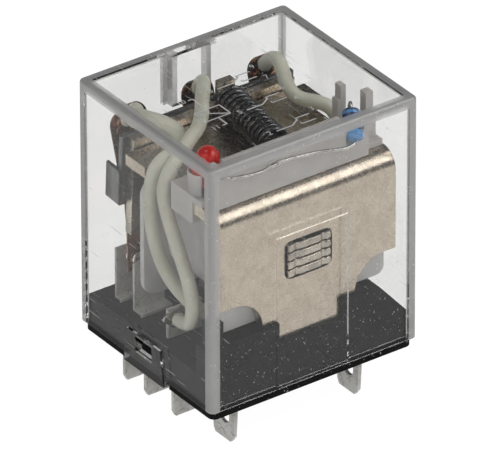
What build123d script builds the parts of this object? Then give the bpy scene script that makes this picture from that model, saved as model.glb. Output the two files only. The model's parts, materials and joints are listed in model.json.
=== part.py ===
from build123d import *
import math
import os

# Plug-in power relay, three changeover poles and a coil, in a clear latched cover.
# Millimetres, +Z up. The origin is the middle of the seating face, the underside of the base flange.
# -Y is the side where the magnet's yoke plate faces out, the blades point down to -Z.

# ---- driving dimensions -------------------------------------------------------------------------
COVER_X = 31.2
COVER_Y = 28.0
COVER_TOP = 35.7
WALL = 1.1
FLANGE_T = 1.2
FLANGE_INSET = 0.42
DECK_Z = 5.2
PLUG_GAP = 0.12
BLADE_LEN = 6.4
BLADE_T = 0.5
BLADE_W = 5.2
POLE_PITCH = 10.0
NC_Y = 8.93
NO_Y = 4.46
COM_Y = -1.42
COIL_BLADE_X = (-10.03, 8.81)
COIL_BLADE_Y = -9.2
YOKE_T = 1.6
YOKE_X = 13.15
YOKE_FRONT = -12.2
YOKE_BACK = 6.4
YOKE_TOP = 28.0
YOKE_R = 2.5
CORE_X = 6.6
CORE_Z = 18.15
LAMINATION_T = 1.2
LAMINATIONS = 4
POLE_FACE = 6.55
HINGE_Y = 6.55
HINGE_Z = 27.2
SWING = 3.2
ARMATURE_T = 1.2
ARMATURE_GAP = 0.07
CARRIER_T = 2.9
SPRING_T = 0.2
CONTACT_Z = 11.0
LEAD_D = 1.8

# ---- sizes worked out from them -----------------------------------------------------------------
IN_X = COVER_X / 2 - WALL
IN_Y = COVER_Y / 2 - WALL
CEILING = COVER_TOP - WALL
PLUG_X = IN_X - PLUG_GAP
PLUG_Y = IN_Y - PLUG_GAP
POLES = [-POLE_PITCH, 0.0, POLE_PITCH]
CORE_H = LAMINATION_T * LAMINATIONS
PLATE_BACK = YOKE_FRONT + YOKE_T
LEG_UNDER = YOKE_TOP - YOKE_T
ARMATURE_Y = POLE_FACE + ARMATURE_GAP
SEAM = 0.02
CARRIER_Y = ARMATURE_Y + ARMATURE_T + SEAM

# ---- small allowances ---------------------------------------------------------------------------
BURY = 0.01      # how far joined shapes of one moulding run into each other
SEAT = 0.05      # air between two pieces that are assembled against each other
THROUGH = 1.0    # how far a cutter runs past the wall it opens


# ---- shared shapes ------------------------------------------------------------------------------
def span(x0, x1, y0, y1, z0, z1):
    """Box between two corners."""
    size = Box(x1 - x0, y1 - y0, z1 - z0)
    return Pos((x0 + x1) / 2, (y0 + y1) / 2, (z0 + z1) / 2) * size


def side_span(side, near, far, y0, y1, z0, z1):
    """Box that runs outwards in X from near to far on one side of the middle."""
    low, high = sorted((side * near, side * far))
    return span(low, high, y0, y1, z0, z1)


def rod(radius, start, end):
    """Round bar between two points."""
    line = Line(start, end)
    return sweep(Plane(origin=start, z_dir=line % 0) * Circle(radius), path=line)


def plate_xz(points, y_back, thickness):
    """Flat plate with an outline in X and Z, its front face thickness before y_back."""
    face = make_face(Polyline(*[(x, z) for x, z in points], close=True))
    placed = Plane(origin=(0, y_back, 0), x_dir=(1, 0, 0), z_dir=(0, -1, 0)) * face
    return extrude(placed, thickness)


def plate_yz(points, x_left, thickness):
    """Flat plate with an outline in Y and Z, running thickness to the right of x_left."""
    face = make_face(Polyline(*[(y, z) for y, z in points], close=True))
    placed = Plane(origin=(x_left, 0, 0), x_dir=(0, 1, 0), z_dir=(1, 0, 0)) * face
    return extrude(placed, thickness)


def rounded_bar(half_x, z0, z1, radius, y0, y1):
    """Bar along Y with a rounded-rectangle section, centred on X = 0."""
    middle = Plane(origin=(0, y0, (z0 + z1) / 2), x_dir=(1, 0, 0), z_dir=(0, 1, 0))
    return extrude(middle * RectangleRounded(2 * half_x, z1 - z0, radius), y1 - y0)


def bent_wire(points, radii, diameter):
    """Round wire along straight runs joined by arcs."""
    path = FilletPolyline(*points, radius=radii) if radii else Line(*points)
    section = Plane(origin=path @ 0, z_dir=path % 0) * Circle(diameter / 2)
    return sweep(section, path=path)


def merged(shapes):
    """One solid from pieces that touch or overlap."""
    total = shapes[0]
    for shape in shapes[1:]:
        total = total + shape
    return total


def swung(shape):
    """Turn a part drawn against the core out to where the return spring holds it at rest."""
    hinge = Axis((0, HINGE_Y, HINGE_Z), (1, 0, 0))
    return shape.rotate(hinge, SWING)


# ---- cover ---------------------------------------------------------------------------------------
CORNER_R = 0.7
TOP_EDGE_R = 0.45
PANEL_X = 5.4
PANEL_TOP = 22.5
PANEL_DEEP = 0.3
LATCH_Y = 1.75
LATCH_Z = (2.6, 4.85)
EAR_FOOT = 0.3
EAR_KNEE = 1.6
EAR_TOP = 5.25
EAR_FOOT_Y = 4.2
EAR_KNEE_Y = 4.0
EAR_TOP_Y = 3.5
EAR_RAISE = 0.3
RIB_X = 2.9
RIB_Y = 1.1
RIB_FOOT = 27.5


def latch_ear(side):
    """Raised tapering tongue around the latch window, reaching below the cover's edge."""
    outline = [
        (-EAR_FOOT_Y, EAR_FOOT), (EAR_FOOT_Y, EAR_FOOT), (EAR_KNEE_Y, EAR_KNEE),
        (EAR_TOP_Y, EAR_TOP), (-EAR_TOP_Y, EAR_TOP), (-EAR_KNEE_Y, EAR_KNEE),
    ]
    outer = COVER_X / 2 + EAR_RAISE
    thick = WALL + EAR_RAISE
    left_face = outer - thick if side > 0 else -outer
    return plate_yz(outline, left_face, thick)


def make_cover():
    """Clear case: a five-sided box with a pocket in front, a rib at the back and two latch ears."""
    shell = span(-COVER_X / 2, COVER_X / 2, -COVER_Y / 2, COVER_Y / 2, FLANGE_T, COVER_TOP)
    shell = fillet(shell.edges().filter_by(Axis.Z), CORNER_R)
    shell = fillet(shell.faces().sort_by(Axis.Z)[-1].edges(), TOP_EDGE_R)
    shell = shell - span(-IN_X, IN_X, -IN_Y, IN_Y, 0, CEILING)
    shell = shell - span(-PANEL_X, PANEL_X, -IN_Y - PANEL_DEEP, -IN_Y, 0, PANEL_TOP)
    shell = shell + span(-RIB_X, RIB_X, IN_Y - RIB_Y, IN_Y, RIB_FOOT, CEILING)
    shell = shell + latch_ear(-1) + latch_ear(1)
    window = span(-COVER_X, COVER_X, -LATCH_Y, LATCH_Y, LATCH_Z[0], LATCH_Z[1])
    return shell - window


# ---- base ----------------------------------------------------------------------------------------
TONGUE_X = 4.75
TONGUE_FOOT = 4.2
TONGUE_GAP = 0.04
TOWER_Z = 10.1
TOWER_BACK = -10.0
SHOULDER_X = 10.2
LEFT_CHAMFER = 0.8
CORNER_POST_X = (0.25, 1.3)
CORNER_POST_Y = (-PLUG_Y + 0.3, -11.0)
CORNER_POST_Z = 13.2
LIP_Z = 7.4
FLANGE_R = 0.9
EAR_GAP = 0.25
NUB_OUT = 0.55
NUB_GAP = 0.1
BARRIER_Y = 3.4
BARRIER_Z = 7.2
BARRIER_T = 1.2


def base_towers():
    """Two towers and a lip at the front wall, with the yoke's tongue between them."""
    foot = DECK_Z - BURY
    right = [(TONGUE_X, foot), (PLUG_X, foot), (PLUG_X, DECK_Z + NUB_GAP), (SHOULDER_X, TOWER_Z),
             (TONGUE_X, TOWER_Z)]
    left = [(-TONGUE_X, foot), (-TONGUE_X, TOWER_Z), (-PLUG_X + LEFT_CHAMFER, TOWER_Z),
            (-PLUG_X, TOWER_Z - LEFT_CHAMFER), (-PLUG_X, foot)]
    deep = TOWER_BACK + PLUG_Y
    post = span(-PLUG_X + CORNER_POST_X[0], -PLUG_X + CORNER_POST_X[1], *CORNER_POST_Y,
                TOWER_Z - LEFT_CHAMFER - BURY, CORNER_POST_Z)
    lip = span(-TONGUE_X - BURY, TONGUE_X + BURY, -PLUG_Y, YOKE_FRONT - SEAT, foot, LIP_Z)
    return plate_xz(right, TOWER_BACK, deep) + plate_xz(left, TOWER_BACK, deep) + post + lip


def latch_nub(side):
    """Wedge that snaps into the cover's latch window."""
    foot, top = LATCH_Z[0] + NUB_GAP, LATCH_Z[1] - NUB_GAP
    wedge = [(side * PLUG_X, top), (side * PLUG_X, foot), (side * (PLUG_X + NUB_OUT), foot),
             (side * (PLUG_X + NUB_OUT / 2), top)]
    return plate_xz(wedge, LATCH_Y - NUB_GAP, 2 * (LATCH_Y - NUB_GAP))


def make_base():
    """Black moulded base: flange, plug, two towers that grip the yoke, and slots for the terminals."""
    flange_x = COVER_X / 2 - FLANGE_INSET
    flange_y = COVER_Y / 2 - FLANGE_INSET
    base = span(-flange_x, flange_x, -flange_y, flange_y, 0, FLANGE_T)
    base = fillet(base.edges().filter_by(Axis.Z), FLANGE_R)
    ear_y = EAR_FOOT_Y + EAR_GAP
    for side in (-1, 1):
        base = base - side_span(side, PLUG_X + SEAT, COVER_X, -ear_y, ear_y, -THROUGH, FLANGE_T + THROUGH)
    base = base + span(-PLUG_X, PLUG_X, -PLUG_Y, PLUG_Y, FLANGE_T - BURY, DECK_Z)
    base = base + base_towers() + latch_nub(-1) + latch_nub(1)
    for wall_x in (-POLE_PITCH / 2, POLE_PITCH / 2):
        base = base + span(wall_x - BARRIER_T / 2, wall_x + BARRIER_T / 2, BARRIER_Y, PLUG_Y,
                           DECK_Z - BURY, BARRIER_Z)
    base = base - span(-TONGUE_X - TONGUE_GAP, TONGUE_X + TONGUE_GAP, YOKE_FRONT - TONGUE_GAP,
                       PLATE_BACK + TONGUE_GAP, TONGUE_FOOT - TONGUE_GAP, TOWER_Z + THROUGH)
    half_t = BLADE_T / 2
    half_w = BLADE_W / 2
    for pole in POLES:
        for row in (NC_Y, NO_Y, COM_Y):
            base = base - span(pole - half_w, pole + half_w, row - half_t, row + half_t,
                               -THROUGH, DECK_Z + THROUGH)
    for x in COIL_BLADE_X:
        base = base - span(x - half_t, x + half_t, COIL_BLADE_Y - COIL_SLOT, COIL_BLADE_Y + COIL_SLOT,
                           -THROUGH, TOWER_Z + THROUGH)
    return base


# ---- magnet --------------------------------------------------------------------------------------
WIDE_FOOT = 10.15
WIDE_FOOT_X = 7.0
SHOULDER_Z = 14.4
NOTCH_R = 4.2
LEG_NOTCH_X = 10.6
LEG_NOTCH_Y = (-8.0, 2.3)
HOOK_X = (-1.4, 0.2)
HOOK_Y = (-8.4, -7.6)
HOOK_TOP = 31.6
STAKE_OUT = 0.12
STAKE_GROOVE_X = -0.7
STAKE_GROOVE_R = 0.45
POLE_SLOT = (1.15, 1.95)
POLE_SLOT_DEEP = 1.6
RING_X = (1.2, 4.15)
RING_Y = (POLE_FACE - 1.35, POLE_FACE - 0.25)
RING_WALL = 0.72


def foot_step(side):
    """What is cut from the plate below its shoulder: a corner with a quarter-round left in it."""
    step = side_span(side, WIDE_FOOT_X, YOKE_X + THROUGH, YOKE_FRONT - THROUGH, PLATE_BACK + THROUGH,
                     TONGUE_FOOT - THROUGH, SHOULDER_Z)
    web = side_span(side, WIDE_FOOT_X - BURY, WIDE_FOOT_X + NOTCH_R, YOKE_FRONT, PLATE_BACK,
                    SHOULDER_Z - NOTCH_R, SHOULDER_Z + BURY)
    centre = Pos(side * (WIDE_FOOT_X + NOTCH_R), (YOKE_FRONT + PLATE_BACK) / 2, SHOULDER_Z - NOTCH_R)
    round_bite = centre * Rot(90, 0, 0) * Cylinder(NOTCH_R, YOKE_T + 2 * THROUGH)
    return step - (web - round_bite)


def make_yoke():
    """L-shaped magnet frame: front plate with its foot tongue, one bend, and the top leg."""
    profile = [
        (YOKE_FRONT, TONGUE_FOOT), (PLATE_BACK, TONGUE_FOOT), (PLATE_BACK, LEG_UNDER),
        (YOKE_BACK, LEG_UNDER), (YOKE_BACK, YOKE_TOP), (YOKE_FRONT, YOKE_TOP),
    ]
    yoke = plate_yz(profile, -YOKE_X, 2 * YOKE_X)
    along = yoke.edges().filter_by(Axis.X)
    yoke = fillet(along.filter_by_position(Axis.Y, YOKE_FRONT - BURY, YOKE_FRONT + BURY).sort_by(Axis.Z)[-1],
                  YOKE_R)
    along = yoke.edges().filter_by(Axis.X)
    yoke = fillet(along.filter_by_position(Axis.Y, PLATE_BACK - BURY, PLATE_BACK + BURY).sort_by(Axis.Z)[-1],
                  YOKE_R - YOKE_T)
    for side in (-1, 1):
        yoke = yoke - foot_step(side)
        yoke = yoke - side_span(side, TONGUE_X, YOKE_X, YOKE_FRONT - THROUGH, PLATE_BACK + THROUGH,
                                TONGUE_FOOT - THROUGH, WIDE_FOOT)
        yoke = yoke - side_span(side, LEG_NOTCH_X, YOKE_X + THROUGH, *LEG_NOTCH_Y,
                                LEG_UNDER - THROUGH, YOKE_TOP + THROUGH)
    half_x = CORE_X / 2 + SEAM
    half_z = CORE_H / 2 + SEAM
    yoke = yoke - span(-half_x, half_x, YOKE_FRONT - THROUGH, PLATE_BACK + THROUGH,
                       CORE_Z - half_z, CORE_Z + half_z)
    return yoke + span(*HOOK_X, *HOOK_Y, YOKE_TOP - BURY, HOOK_TOP)


def make_core():
    """Laminated core: flat strips side by side, staked in the yoke plate, with a slot in the pole face."""
    front = YOKE_FRONT - STAKE_OUT
    strips = []
    for i in range(LAMINATIONS):
        low = CORE_Z - CORE_H / 2 + i * LAMINATION_T
        high = low + LAMINATION_T - SEAM
        strip = span(-CORE_X / 2, CORE_X / 2, front, POLE_FACE, low, high)
        strip = strip - span(*POLE_SLOT, POLE_FACE - POLE_SLOT_DEEP, POLE_FACE + THROUGH,
                             low - THROUGH, high + THROUGH)
        strip = strip - Pos(STAKE_GROOVE_X, front, CORE_Z) * Cylinder(STAKE_GROOVE_R, 2 * CORE_H)
        strips.append(strip)
    return Compound(strips)


def make_shading_ring():
    """Copper ring round the smaller part of the pole face, lying in its slot."""
    gap_z = CORE_H / 2 + SEAM
    y0, y1 = RING_Y
    outer = span(*RING_X, y0, y1, CORE_Z - gap_z - RING_WALL, CORE_Z + gap_z + RING_WALL)
    inner = span(POLE_SLOT[1] - SEAM, CORE_X / 2 + SEAM, y0 - THROUGH, y1 + THROUGH,
                 CORE_Z - gap_z, CORE_Z + gap_z)
    return outer - inner


# ---- coil ----------------------------------------------------------------------------------------
FRONT_CHEEK = (PLATE_BACK + SEAT, PLATE_BACK + 1.25)
FRONT_CHEEK_X = 12.6
FRONT_CHEEK_Z = (10.2, 25.3)
FRONT_CHEEK_R = 1.2
REAR_CHEEK = (4.3, 5.1)
REAR_CHEEK_X = 12.0
REAR_CHEEK_Z = (7.9, 24.3)
REAR_CHEEK_R = 2.1
BOBBIN_FOOT_X = 7.4
BOBBIN_FOOT_T = 0.55
TUBE_WALL = 0.75
TUBE_R = 0.8
WINDING = 4.1
WINDING_R = 3.6
TAPE_T = 0.15
COIL_WIRE_D = 0.3
COIL_SLOT = 2.4


def make_bobbin():
    """White bobbin: a square tube on the core between two broad end plates."""
    half_x = CORE_X / 2 + SEAT
    half_z = CORE_H / 2 + SEAT
    front = rounded_bar(FRONT_CHEEK_X, *FRONT_CHEEK_Z, FRONT_CHEEK_R, *FRONT_CHEEK)
    foot = span(-BOBBIN_FOOT_X, BOBBIN_FOOT_X, FRONT_CHEEK[1] - BOBBIN_FOOT_T, FRONT_CHEEK[1],
                DECK_Z + SEAT, FRONT_CHEEK_Z[0] + FRONT_CHEEK_R)
    rear = rounded_bar(REAR_CHEEK_X, *REAR_CHEEK_Z, REAR_CHEEK_R, *REAR_CHEEK)
    tube = rounded_bar(half_x + TUBE_WALL, CORE_Z - half_z - TUBE_WALL, CORE_Z + half_z + TUBE_WALL,
                       TUBE_R, FRONT_CHEEK[0], REAR_CHEEK[1])
    bore = span(-half_x, half_x, FRONT_CHEEK[0] - THROUGH, REAR_CHEEK[1] + THROUGH,
                CORE_Z - half_z, CORE_Z + half_z)
    return front + foot + rear + tube - bore


def coil_layer(inside, outside, radius):
    """Hollow layer of the coil between the end plates, from one height above the tube to another."""
    tube_x = CORE_X / 2 + SEAT + TUBE_WALL
    tube_z = CORE_H / 2 + SEAT + TUBE_WALL
    y0 = FRONT_CHEEK[1] + SEAM
    y1 = REAR_CHEEK[0] - SEAM
    hole_r = max(TUBE_R, radius - (outside - inside))
    body = rounded_bar(tube_x + outside, CORE_Z - tube_z - outside, CORE_Z + tube_z + outside, radius, y0, y1)
    hole = rounded_bar(tube_x + inside, CORE_Z - tube_z - inside, CORE_Z + tube_z + inside, hole_r,
                       y0 - THROUGH, y1 + THROUGH)
    return body - hole


def make_winding():
    """Copper wire wound on the bobbin, as one solid layer."""
    return coil_layer(SEAM, WINDING, WINDING_R)


def make_tape():
    """White tape round the winding."""
    inside = WINDING + SEAM
    return coil_layer(inside, inside + TAPE_T, WINDING_R + TAPE_T)


def make_coil_wires():
    """The winding's two ends, from its foot down to the tags of the coil terminals."""
    y = COIL_BLADE_Y + COIL_TAG[0] + COIL_WIRE_D
    left = [(-6.6, y, 11.3), (-8.6, y, 9.6), (COIL_BLADE_X[0] + BLADE_T, y, 8.0)]
    right = [(6.2, y, 11.1), (7.6, y, 9.6), (COIL_BLADE_X[1] - BLADE_T, y, 8.0)]
    return Compound([bent_wire(points, [1.5], COIL_WIRE_D) for points in (left, right)])


# ---- indicator -----------------------------------------------------------------------------------
SCREEN_X = (-12.8, 10.05)
SCREEN_Y = (-10.75, -9.75)
SCREEN_TOP = 33.4
HOLDER_FOOT = YOKE_TOP + SEAT
RAIL_T = 0.8
LED_X = -11.3
LED_Y = -7.4
LED_R = 1.5
LED_FOOT = 30.2
LED_TOP = 34.1
LED_RIM = 0.25
LED_RIM_T = 0.8
LED_PITCH = 2.54
LED_BLOCK_X = (-13.3, -9.2)
LED_BLOCK_BACK = -3.4
LED_BLOCK_TOP = 28.9
SKIRT_FOOT = 25.0
POST_TOP = 34.2
POSTS = [(9.7, 10.9, -5.4, -4.2), (11.6, 12.7, -8.6, -7.4)]
RESISTOR_R = 1.15
RESISTOR_NECK = 0.15
RESISTOR_CAP = 1.1
RESISTOR_FRONT = (7.55, -11.4, 31.25)
RESISTOR_REAR = (8.95, -9.1, 33.25)
CRADLE_GAP = 0.03
CRADLE_OPEN_Z = 32.3
THIN_WIRE = 0.5
LED_WIRE = 0.45
JOINT_X = (-5.7, -4.2)
JOINT_Z = 32.4
JOINT_R = 0.42
LINK_Y = -11.9
LINK_X = -11.6
LINK_Z = 32.7
NOTCH_Z = 32.2
RESISTOR_LENGTH = math.dist(RESISTOR_FRONT, RESISTOR_REAR)


def resistor_point(along):
    """Point on the resistor's leaning axis, measured from its front end."""
    shares = [(b - a) / RESISTOR_LENGTH for a, b in zip(RESISTOR_FRONT, RESISTOR_REAR)]
    return tuple(a + share * along for a, share in zip(RESISTOR_FRONT, shares))


def make_holder():
    """White holder on the yoke: a front screen, a block for the lamp and two posts at the other end."""
    inside = SCREEN_Y[1] - BURY
    rail_top = HOLDER_FOOT + RAIL_T
    shapes = [
        span(*SCREEN_X, *SCREEN_Y, HOLDER_FOOT, SCREEN_TOP),
        span(*LED_BLOCK_X, inside, LED_BLOCK_BACK, HOLDER_FOOT, LED_BLOCK_TOP),
        span(LED_BLOCK_X[0], -LEG_NOTCH_X - 0.1, LEG_NOTCH_Y[0] + 0.1, LED_BLOCK_BACK,
             SKIRT_FOOT, HOLDER_FOOT + BURY),
        span(9.0, 12.9, inside, -3.9, HOLDER_FOOT, rail_top),
    ]
    for x0, x1, y0, y1 in POSTS:
        shapes.append(span(x0, x1, y0, y1, rail_top - BURY, POST_TOP))
    holder = merged(shapes)
    cradle_r = RESISTOR_R + CRADLE_GAP
    holder = holder - rod(cradle_r, resistor_point(-2.0), resistor_point(RESISTOR_LENGTH + 2.0))
    holder = holder - span(RESISTOR_FRONT[0] - cradle_r, RESISTOR_REAR[0] + cradle_r, -COVER_Y / 2, 0,
                           CRADLE_OPEN_Z, COVER_TOP)
    for lead_y in (LED_Y - LED_PITCH / 2, LED_Y + LED_PITCH / 2):
        holder = holder - rod(0.3, (LED_X, lead_y, SKIRT_FOOT - THROUGH), (LED_X, lead_y, LED_FOOT + THROUGH))
    notch_x = (LINK_X - THIN_WIRE, LINK_X + THIN_WIRE)
    return holder - span(*notch_x, SCREEN_Y[0] - THROUGH, SCREEN_Y[1] + THROUGH, NOTCH_Z, COVER_TOP)


def make_led():
    """Indicator lamp, a 3 mm lens with a rim and a round top, held above the block on its leads."""
    dome_z = LED_TOP - LED_R
    barrel = Pos(LED_X, LED_Y, (LED_FOOT + dome_z) / 2) * Cylinder(LED_R, dome_z - LED_FOOT)
    rim = Pos(LED_X, LED_Y, LED_FOOT + LED_RIM_T / 2) * Cylinder(LED_R + LED_RIM, LED_RIM_T)
    return barrel + rim + Pos(LED_X, LED_Y, dome_z) * Sphere(LED_R)


def make_led_leads():
    """Two tinned leads under the lamp, down the holes of its block."""
    leads = []
    for lead_y, foot in ((LED_Y + LED_PITCH / 2, 25.6), (LED_Y - LED_PITCH / 2, 28.35)):
        leads.append(rod(LED_WIRE / 2, (LED_X, lead_y, LED_FOOT - SEAM), (LED_X, lead_y, foot)))
    return Compound(leads)


def resistor_cap(start, end):
    """Swollen round end of the resistor."""
    cap = rod(RESISTOR_R, resistor_point(start), resistor_point(end))
    return fillet(cap.edges().filter_by(GeomType.CIRCLE), 0.45)


def make_resistor():
    """Resistor body with its two swollen ends, leaning back through the screen."""
    body = rod(RESISTOR_R - RESISTOR_NECK, resistor_point(RESISTOR_CAP / 2),
               resistor_point(RESISTOR_LENGTH - RESISTOR_CAP / 2))
    return body + resistor_cap(0, RESISTOR_CAP) + resistor_cap(RESISTOR_LENGTH - RESISTOR_CAP, RESISTOR_LENGTH)


def make_resistor_leads():
    """Resistor's leads: one bends along the front to the twist, one goes down to the rail."""
    front = [resistor_point(-SEAM), (7.1, LINK_Y, 31.1), (5.8, LINK_Y, 31.0), (1.3, LINK_Y, 32.0),
             (JOINT_X[1] + 0.1, LINK_Y, JOINT_Z + 0.15)]
    back = [resistor_point(RESISTOR_LENGTH + SEAM), resistor_point(RESISTOR_LENGTH + 0.8), (9.65, -7.9, 32.6),
            (9.65, -7.7, 28.95)]
    return Compound([bent_wire(front, [0.2, 1.0, 4.0], THIN_WIRE), bent_wire(back, [0.3, 0.6], THIN_WIRE)])


def make_link_wire():
    """Lead from the lamp's block up through the screen's notch and along the front to the twist."""
    behind = SCREEN_Y[1] + 0.3
    return bent_wire([(LINK_X, behind, LED_BLOCK_TOP + 0.2), (LINK_X, behind, LINK_Z), (LINK_X, LINK_Y, LINK_Z),
                      (-8.0, LINK_Y, 32.15), (JOINT_X[0] - 0.1, LINK_Y, JOINT_Z - 0.15)], [0.4, 0.5, 4.0], THIN_WIRE)


def make_solder_joint():
    """Soldered twist between the lamp's lead and the resistor's lead."""
    joint = rod(JOINT_R, (JOINT_X[0], LINK_Y, JOINT_Z - 0.1), (JOINT_X[1], LINK_Y, JOINT_Z + 0.1))
    return fillet(joint.edges().filter_by(GeomType.CIRCLE), JOINT_R / 2)


# ---- return spring -------------------------------------------------------------------------------
SPRING_R = 2.0
SPRING_WIRE = 0.5
SPRING_FRONT = (-0.5, -6.6, 30.4)
SPRING_REAR = (1.2, 6.0, 30.6)


def make_return_spring():
    """Tension spring as the sleeve that its turns fill."""
    return rod(SPRING_R, SPRING_FRONT, SPRING_REAR) - rod(SPRING_R - SPRING_WIRE, SPRING_FRONT, SPRING_REAR)


# ---- moving system -------------------------------------------------------------------------------
ARMATURE_X = 11.8
ARMATURE_Z = (15.3, 29.2)
TAIL_X = (0.5, 2.7)
TAIL_TOP = 32.2
TAIL_HOLE_R = 0.45
CARRIER_X = 13.0
CARRIER_Z = (19.6, 24.6)
CARRIER_HEAD_X = 12.6
CARRIER_HEAD_T = 0.9
CARRIER_HEAD_TOP = 29.4
SLOT_X = 2.5
SLOT_Y = (8.9, 9.75)
RIVET_R = 1.1
RIVET_Z = 22.1
RIVET_HEAD = 0.5
HEAD_W = 4.8
HEAD_R = 1.7
HEAD_TOP = 30.8
NECK_W = 3.0
NECK_Z = 19.0
STRIP_FOOT = 9.4
STRIP_LINE = [(8.52, STRIP_FOOT), (8.65, 15.4), (9.2, 20.4), (9.35, 24.9), (11.15, HEAD_TOP)]
BUTTON_R = 0.95
BUTTON_BACK = (8.70, 9.22)
BUTTON_FRONT = (7.95, 8.42)


def make_armature():
    """Flat iron plate that hangs behind the yoke's edge, with a tail above it for the spring."""
    back = ARMATURE_Y + ARMATURE_T
    plate = span(-ARMATURE_X, ARMATURE_X, ARMATURE_Y, back, *ARMATURE_Z)
    tail = span(*TAIL_X, ARMATURE_Y, back, ARMATURE_Z[1] - BURY, TAIL_TOP)
    hole = rod(TAIL_HOLE_R, (sum(TAIL_X) / 2, ARMATURE_Y - THROUGH, TAIL_TOP - 0.9),
               (sum(TAIL_X) / 2, back + THROUGH, TAIL_TOP - 0.9))
    return swung(plate + tail - hole)


def make_carrier():
    """Dark moulded bar on the back of the armature, with a head over its top and seats for the springs."""
    bar = span(-CARRIER_X, CARRIER_X, CARRIER_Y, CARRIER_Y + CARRIER_T, *CARRIER_Z)
    head = span(-CARRIER_HEAD_X, CARRIER_HEAD_X, CARRIER_Y, CARRIER_Y + CARRIER_HEAD_T,
                CARRIER_Z[1] - BURY, CARRIER_HEAD_TOP)
    carrier = swung(bar + head)
    for pole in POLES:
        x0, x1 = pole - SLOT_X, pole + SLOT_X
        carrier = carrier - span(x0, x1, *SLOT_Y, CARRIER_Z[0] - 2 * THROUGH, COVER_TOP)
        carrier = carrier - span(x0, x1, SLOT_Y[1] - BURY, IN_Y, CARRIER_Z[1] - 1.6, COVER_TOP)
    return carrier


def make_rivets():
    """Two rivet heads that hold the carrier on the armature."""
    y0 = CARRIER_Y + CARRIER_T
    heads = []
    for x in (-POLE_PITCH / 2, POLE_PITCH / 2):
        heads.append(swung(rod(RIVET_R, (x, y0 + SEAM, RIVET_Z), (x, y0 + RIVET_HEAD, RIVET_Z))))
    return Compound(heads)


def make_movable_spring(pole):
    """Bronze contact blade: upright strip through the carrier, its rounded head leaning back."""
    half = SPRING_T / 2
    side = [(y - half, z) for y, z in STRIP_LINE] + [(y + half, z) for y, z in reversed(STRIP_LINE)]
    strip = plate_yz(side, pole - HEAD_W / 2, HEAD_W)
    y0, y1 = CARRIER_Y, IN_Y
    head = span(pole - HEAD_W / 2, pole + HEAD_W / 2, y0, y1, NECK_Z, HEAD_TOP)
    head = fillet(head.edges().filter_by(Axis.Y).group_by(Axis.Z)[-1], HEAD_R)
    neck = span(pole - NECK_W / 2, pole + NECK_W / 2, y0, y1, STRIP_FOOT, NECK_Z + BURY)
    return strip & (head + neck)


def make_moving_contacts():
    """Silver buttons on both sides of each contact blade."""
    buttons = []
    for pole in POLES:
        for y0, y1 in (BUTTON_BACK, BUTTON_FRONT):
            buttons.append(rod(BUTTON_R, (pole, y0, CONTACT_Z), (pole, y1, CONTACT_Z)))
    return Compound(buttons)


# ---- terminals -----------------------------------------------------------------------------------
STRIP_T = 0.4
STRIP_W = 4.6
ROOT_Z = DECK_Z - 1.4
NC_SEAT = 9.97
NC_STRIP_TOP = 12.4
NC_FACE = 9.26
NO_SEAT = 6.12
NO_STRIP_TOP = 12.0
NO_FACE = 7.0
FIXED_BUTTON_R = 1.05
COM_TAB_TOP = 9.3
TIP_BEVEL = (0.42, 0.75)
TIP_DRAFT = 0.05
HOLE_Z = -2.6
HOLE_W = 2.0
HOLE_H = 3.0
COIL_HALF = 2.35
COIL_NECK_Z = DECK_Z - 0.6
COIL_TAG = (-0.1, 0.55)
COIL_TAG_TOP = 8.6


def pole_blade(pole, row):
    """Blade across X, tapered at its tip, with a round-ended hole."""
    half = BLADE_W / 2
    bevel, rise = TIP_BEVEL
    outline = [(-half, ROOT_Z), (-half, 0), (-half + TIP_DRAFT, -BLADE_LEN + rise), (-half + bevel, -BLADE_LEN),
               (half - bevel, -BLADE_LEN), (half - TIP_DRAFT, -BLADE_LEN + rise), (half, 0), (half, ROOT_Z)]
    blade = plate_xz([(pole + x, z) for x, z in outline], row + BLADE_T / 2, BLADE_T)
    hole = Plane(origin=(pole, row + THROUGH, HOLE_Z), x_dir=(0, 0, 1), z_dir=(0, -1, 0))
    return blade - extrude(hole * SlotOverall(HOLE_H, HOLE_W), 2 * THROUGH)


def jogged_strip(pole, row, seat, top):
    """Strip that steps from the blade's plane to the contact's plane above the base's deck."""
    half = BLADE_T / 2
    root = ROOT_Z - 0.1
    step = DECK_Z + SEAM
    near, far = (row - half, row + half) if seat > row else (row + half, row - half)
    away = STRIP_T / 2 if seat > row else -STRIP_T / 2
    shape = [(near, root), (far, root), (far, step), (seat + away, step), (seat + away, top),
             (seat - away, top), (seat - away, step + STRIP_T), (near, step + STRIP_T)]
    return plate_yz(shape, pole - STRIP_W / 2, STRIP_W)


def make_nc_terminal(pole):
    """Rest-contact terminal: blade, jog and upright strip behind the moving blade."""
    return pole_blade(pole, NC_Y) + jogged_strip(pole, NC_Y, NC_SEAT, NC_STRIP_TOP)


def make_no_terminal(pole):
    """Work-contact terminal: blade, jog and upright strip in front of the moving blade."""
    return pole_blade(pole, NO_Y) + jogged_strip(pole, NO_Y, NO_SEAT, NO_STRIP_TOP)


def make_fixed_contacts(strip_face, contact_face):
    """Silver buttons on the fixed strips of one row, from the strip to the face they meet on."""
    return Compound([rod(FIXED_BUTTON_R, (pole, strip_face, CONTACT_Z), (pole, contact_face, CONTACT_Z))
                     for pole in POLES])


def make_com_terminal(pole):
    """Common terminal: blade with a solder tab above the deck."""
    half = BLADE_T / 2
    tab = span(pole - BLADE_W / 2, pole + BLADE_W / 2, COM_Y - half, COM_Y + half, ROOT_Z - BURY, COM_TAB_TOP)
    return pole_blade(pole, COM_Y) + tab


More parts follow.
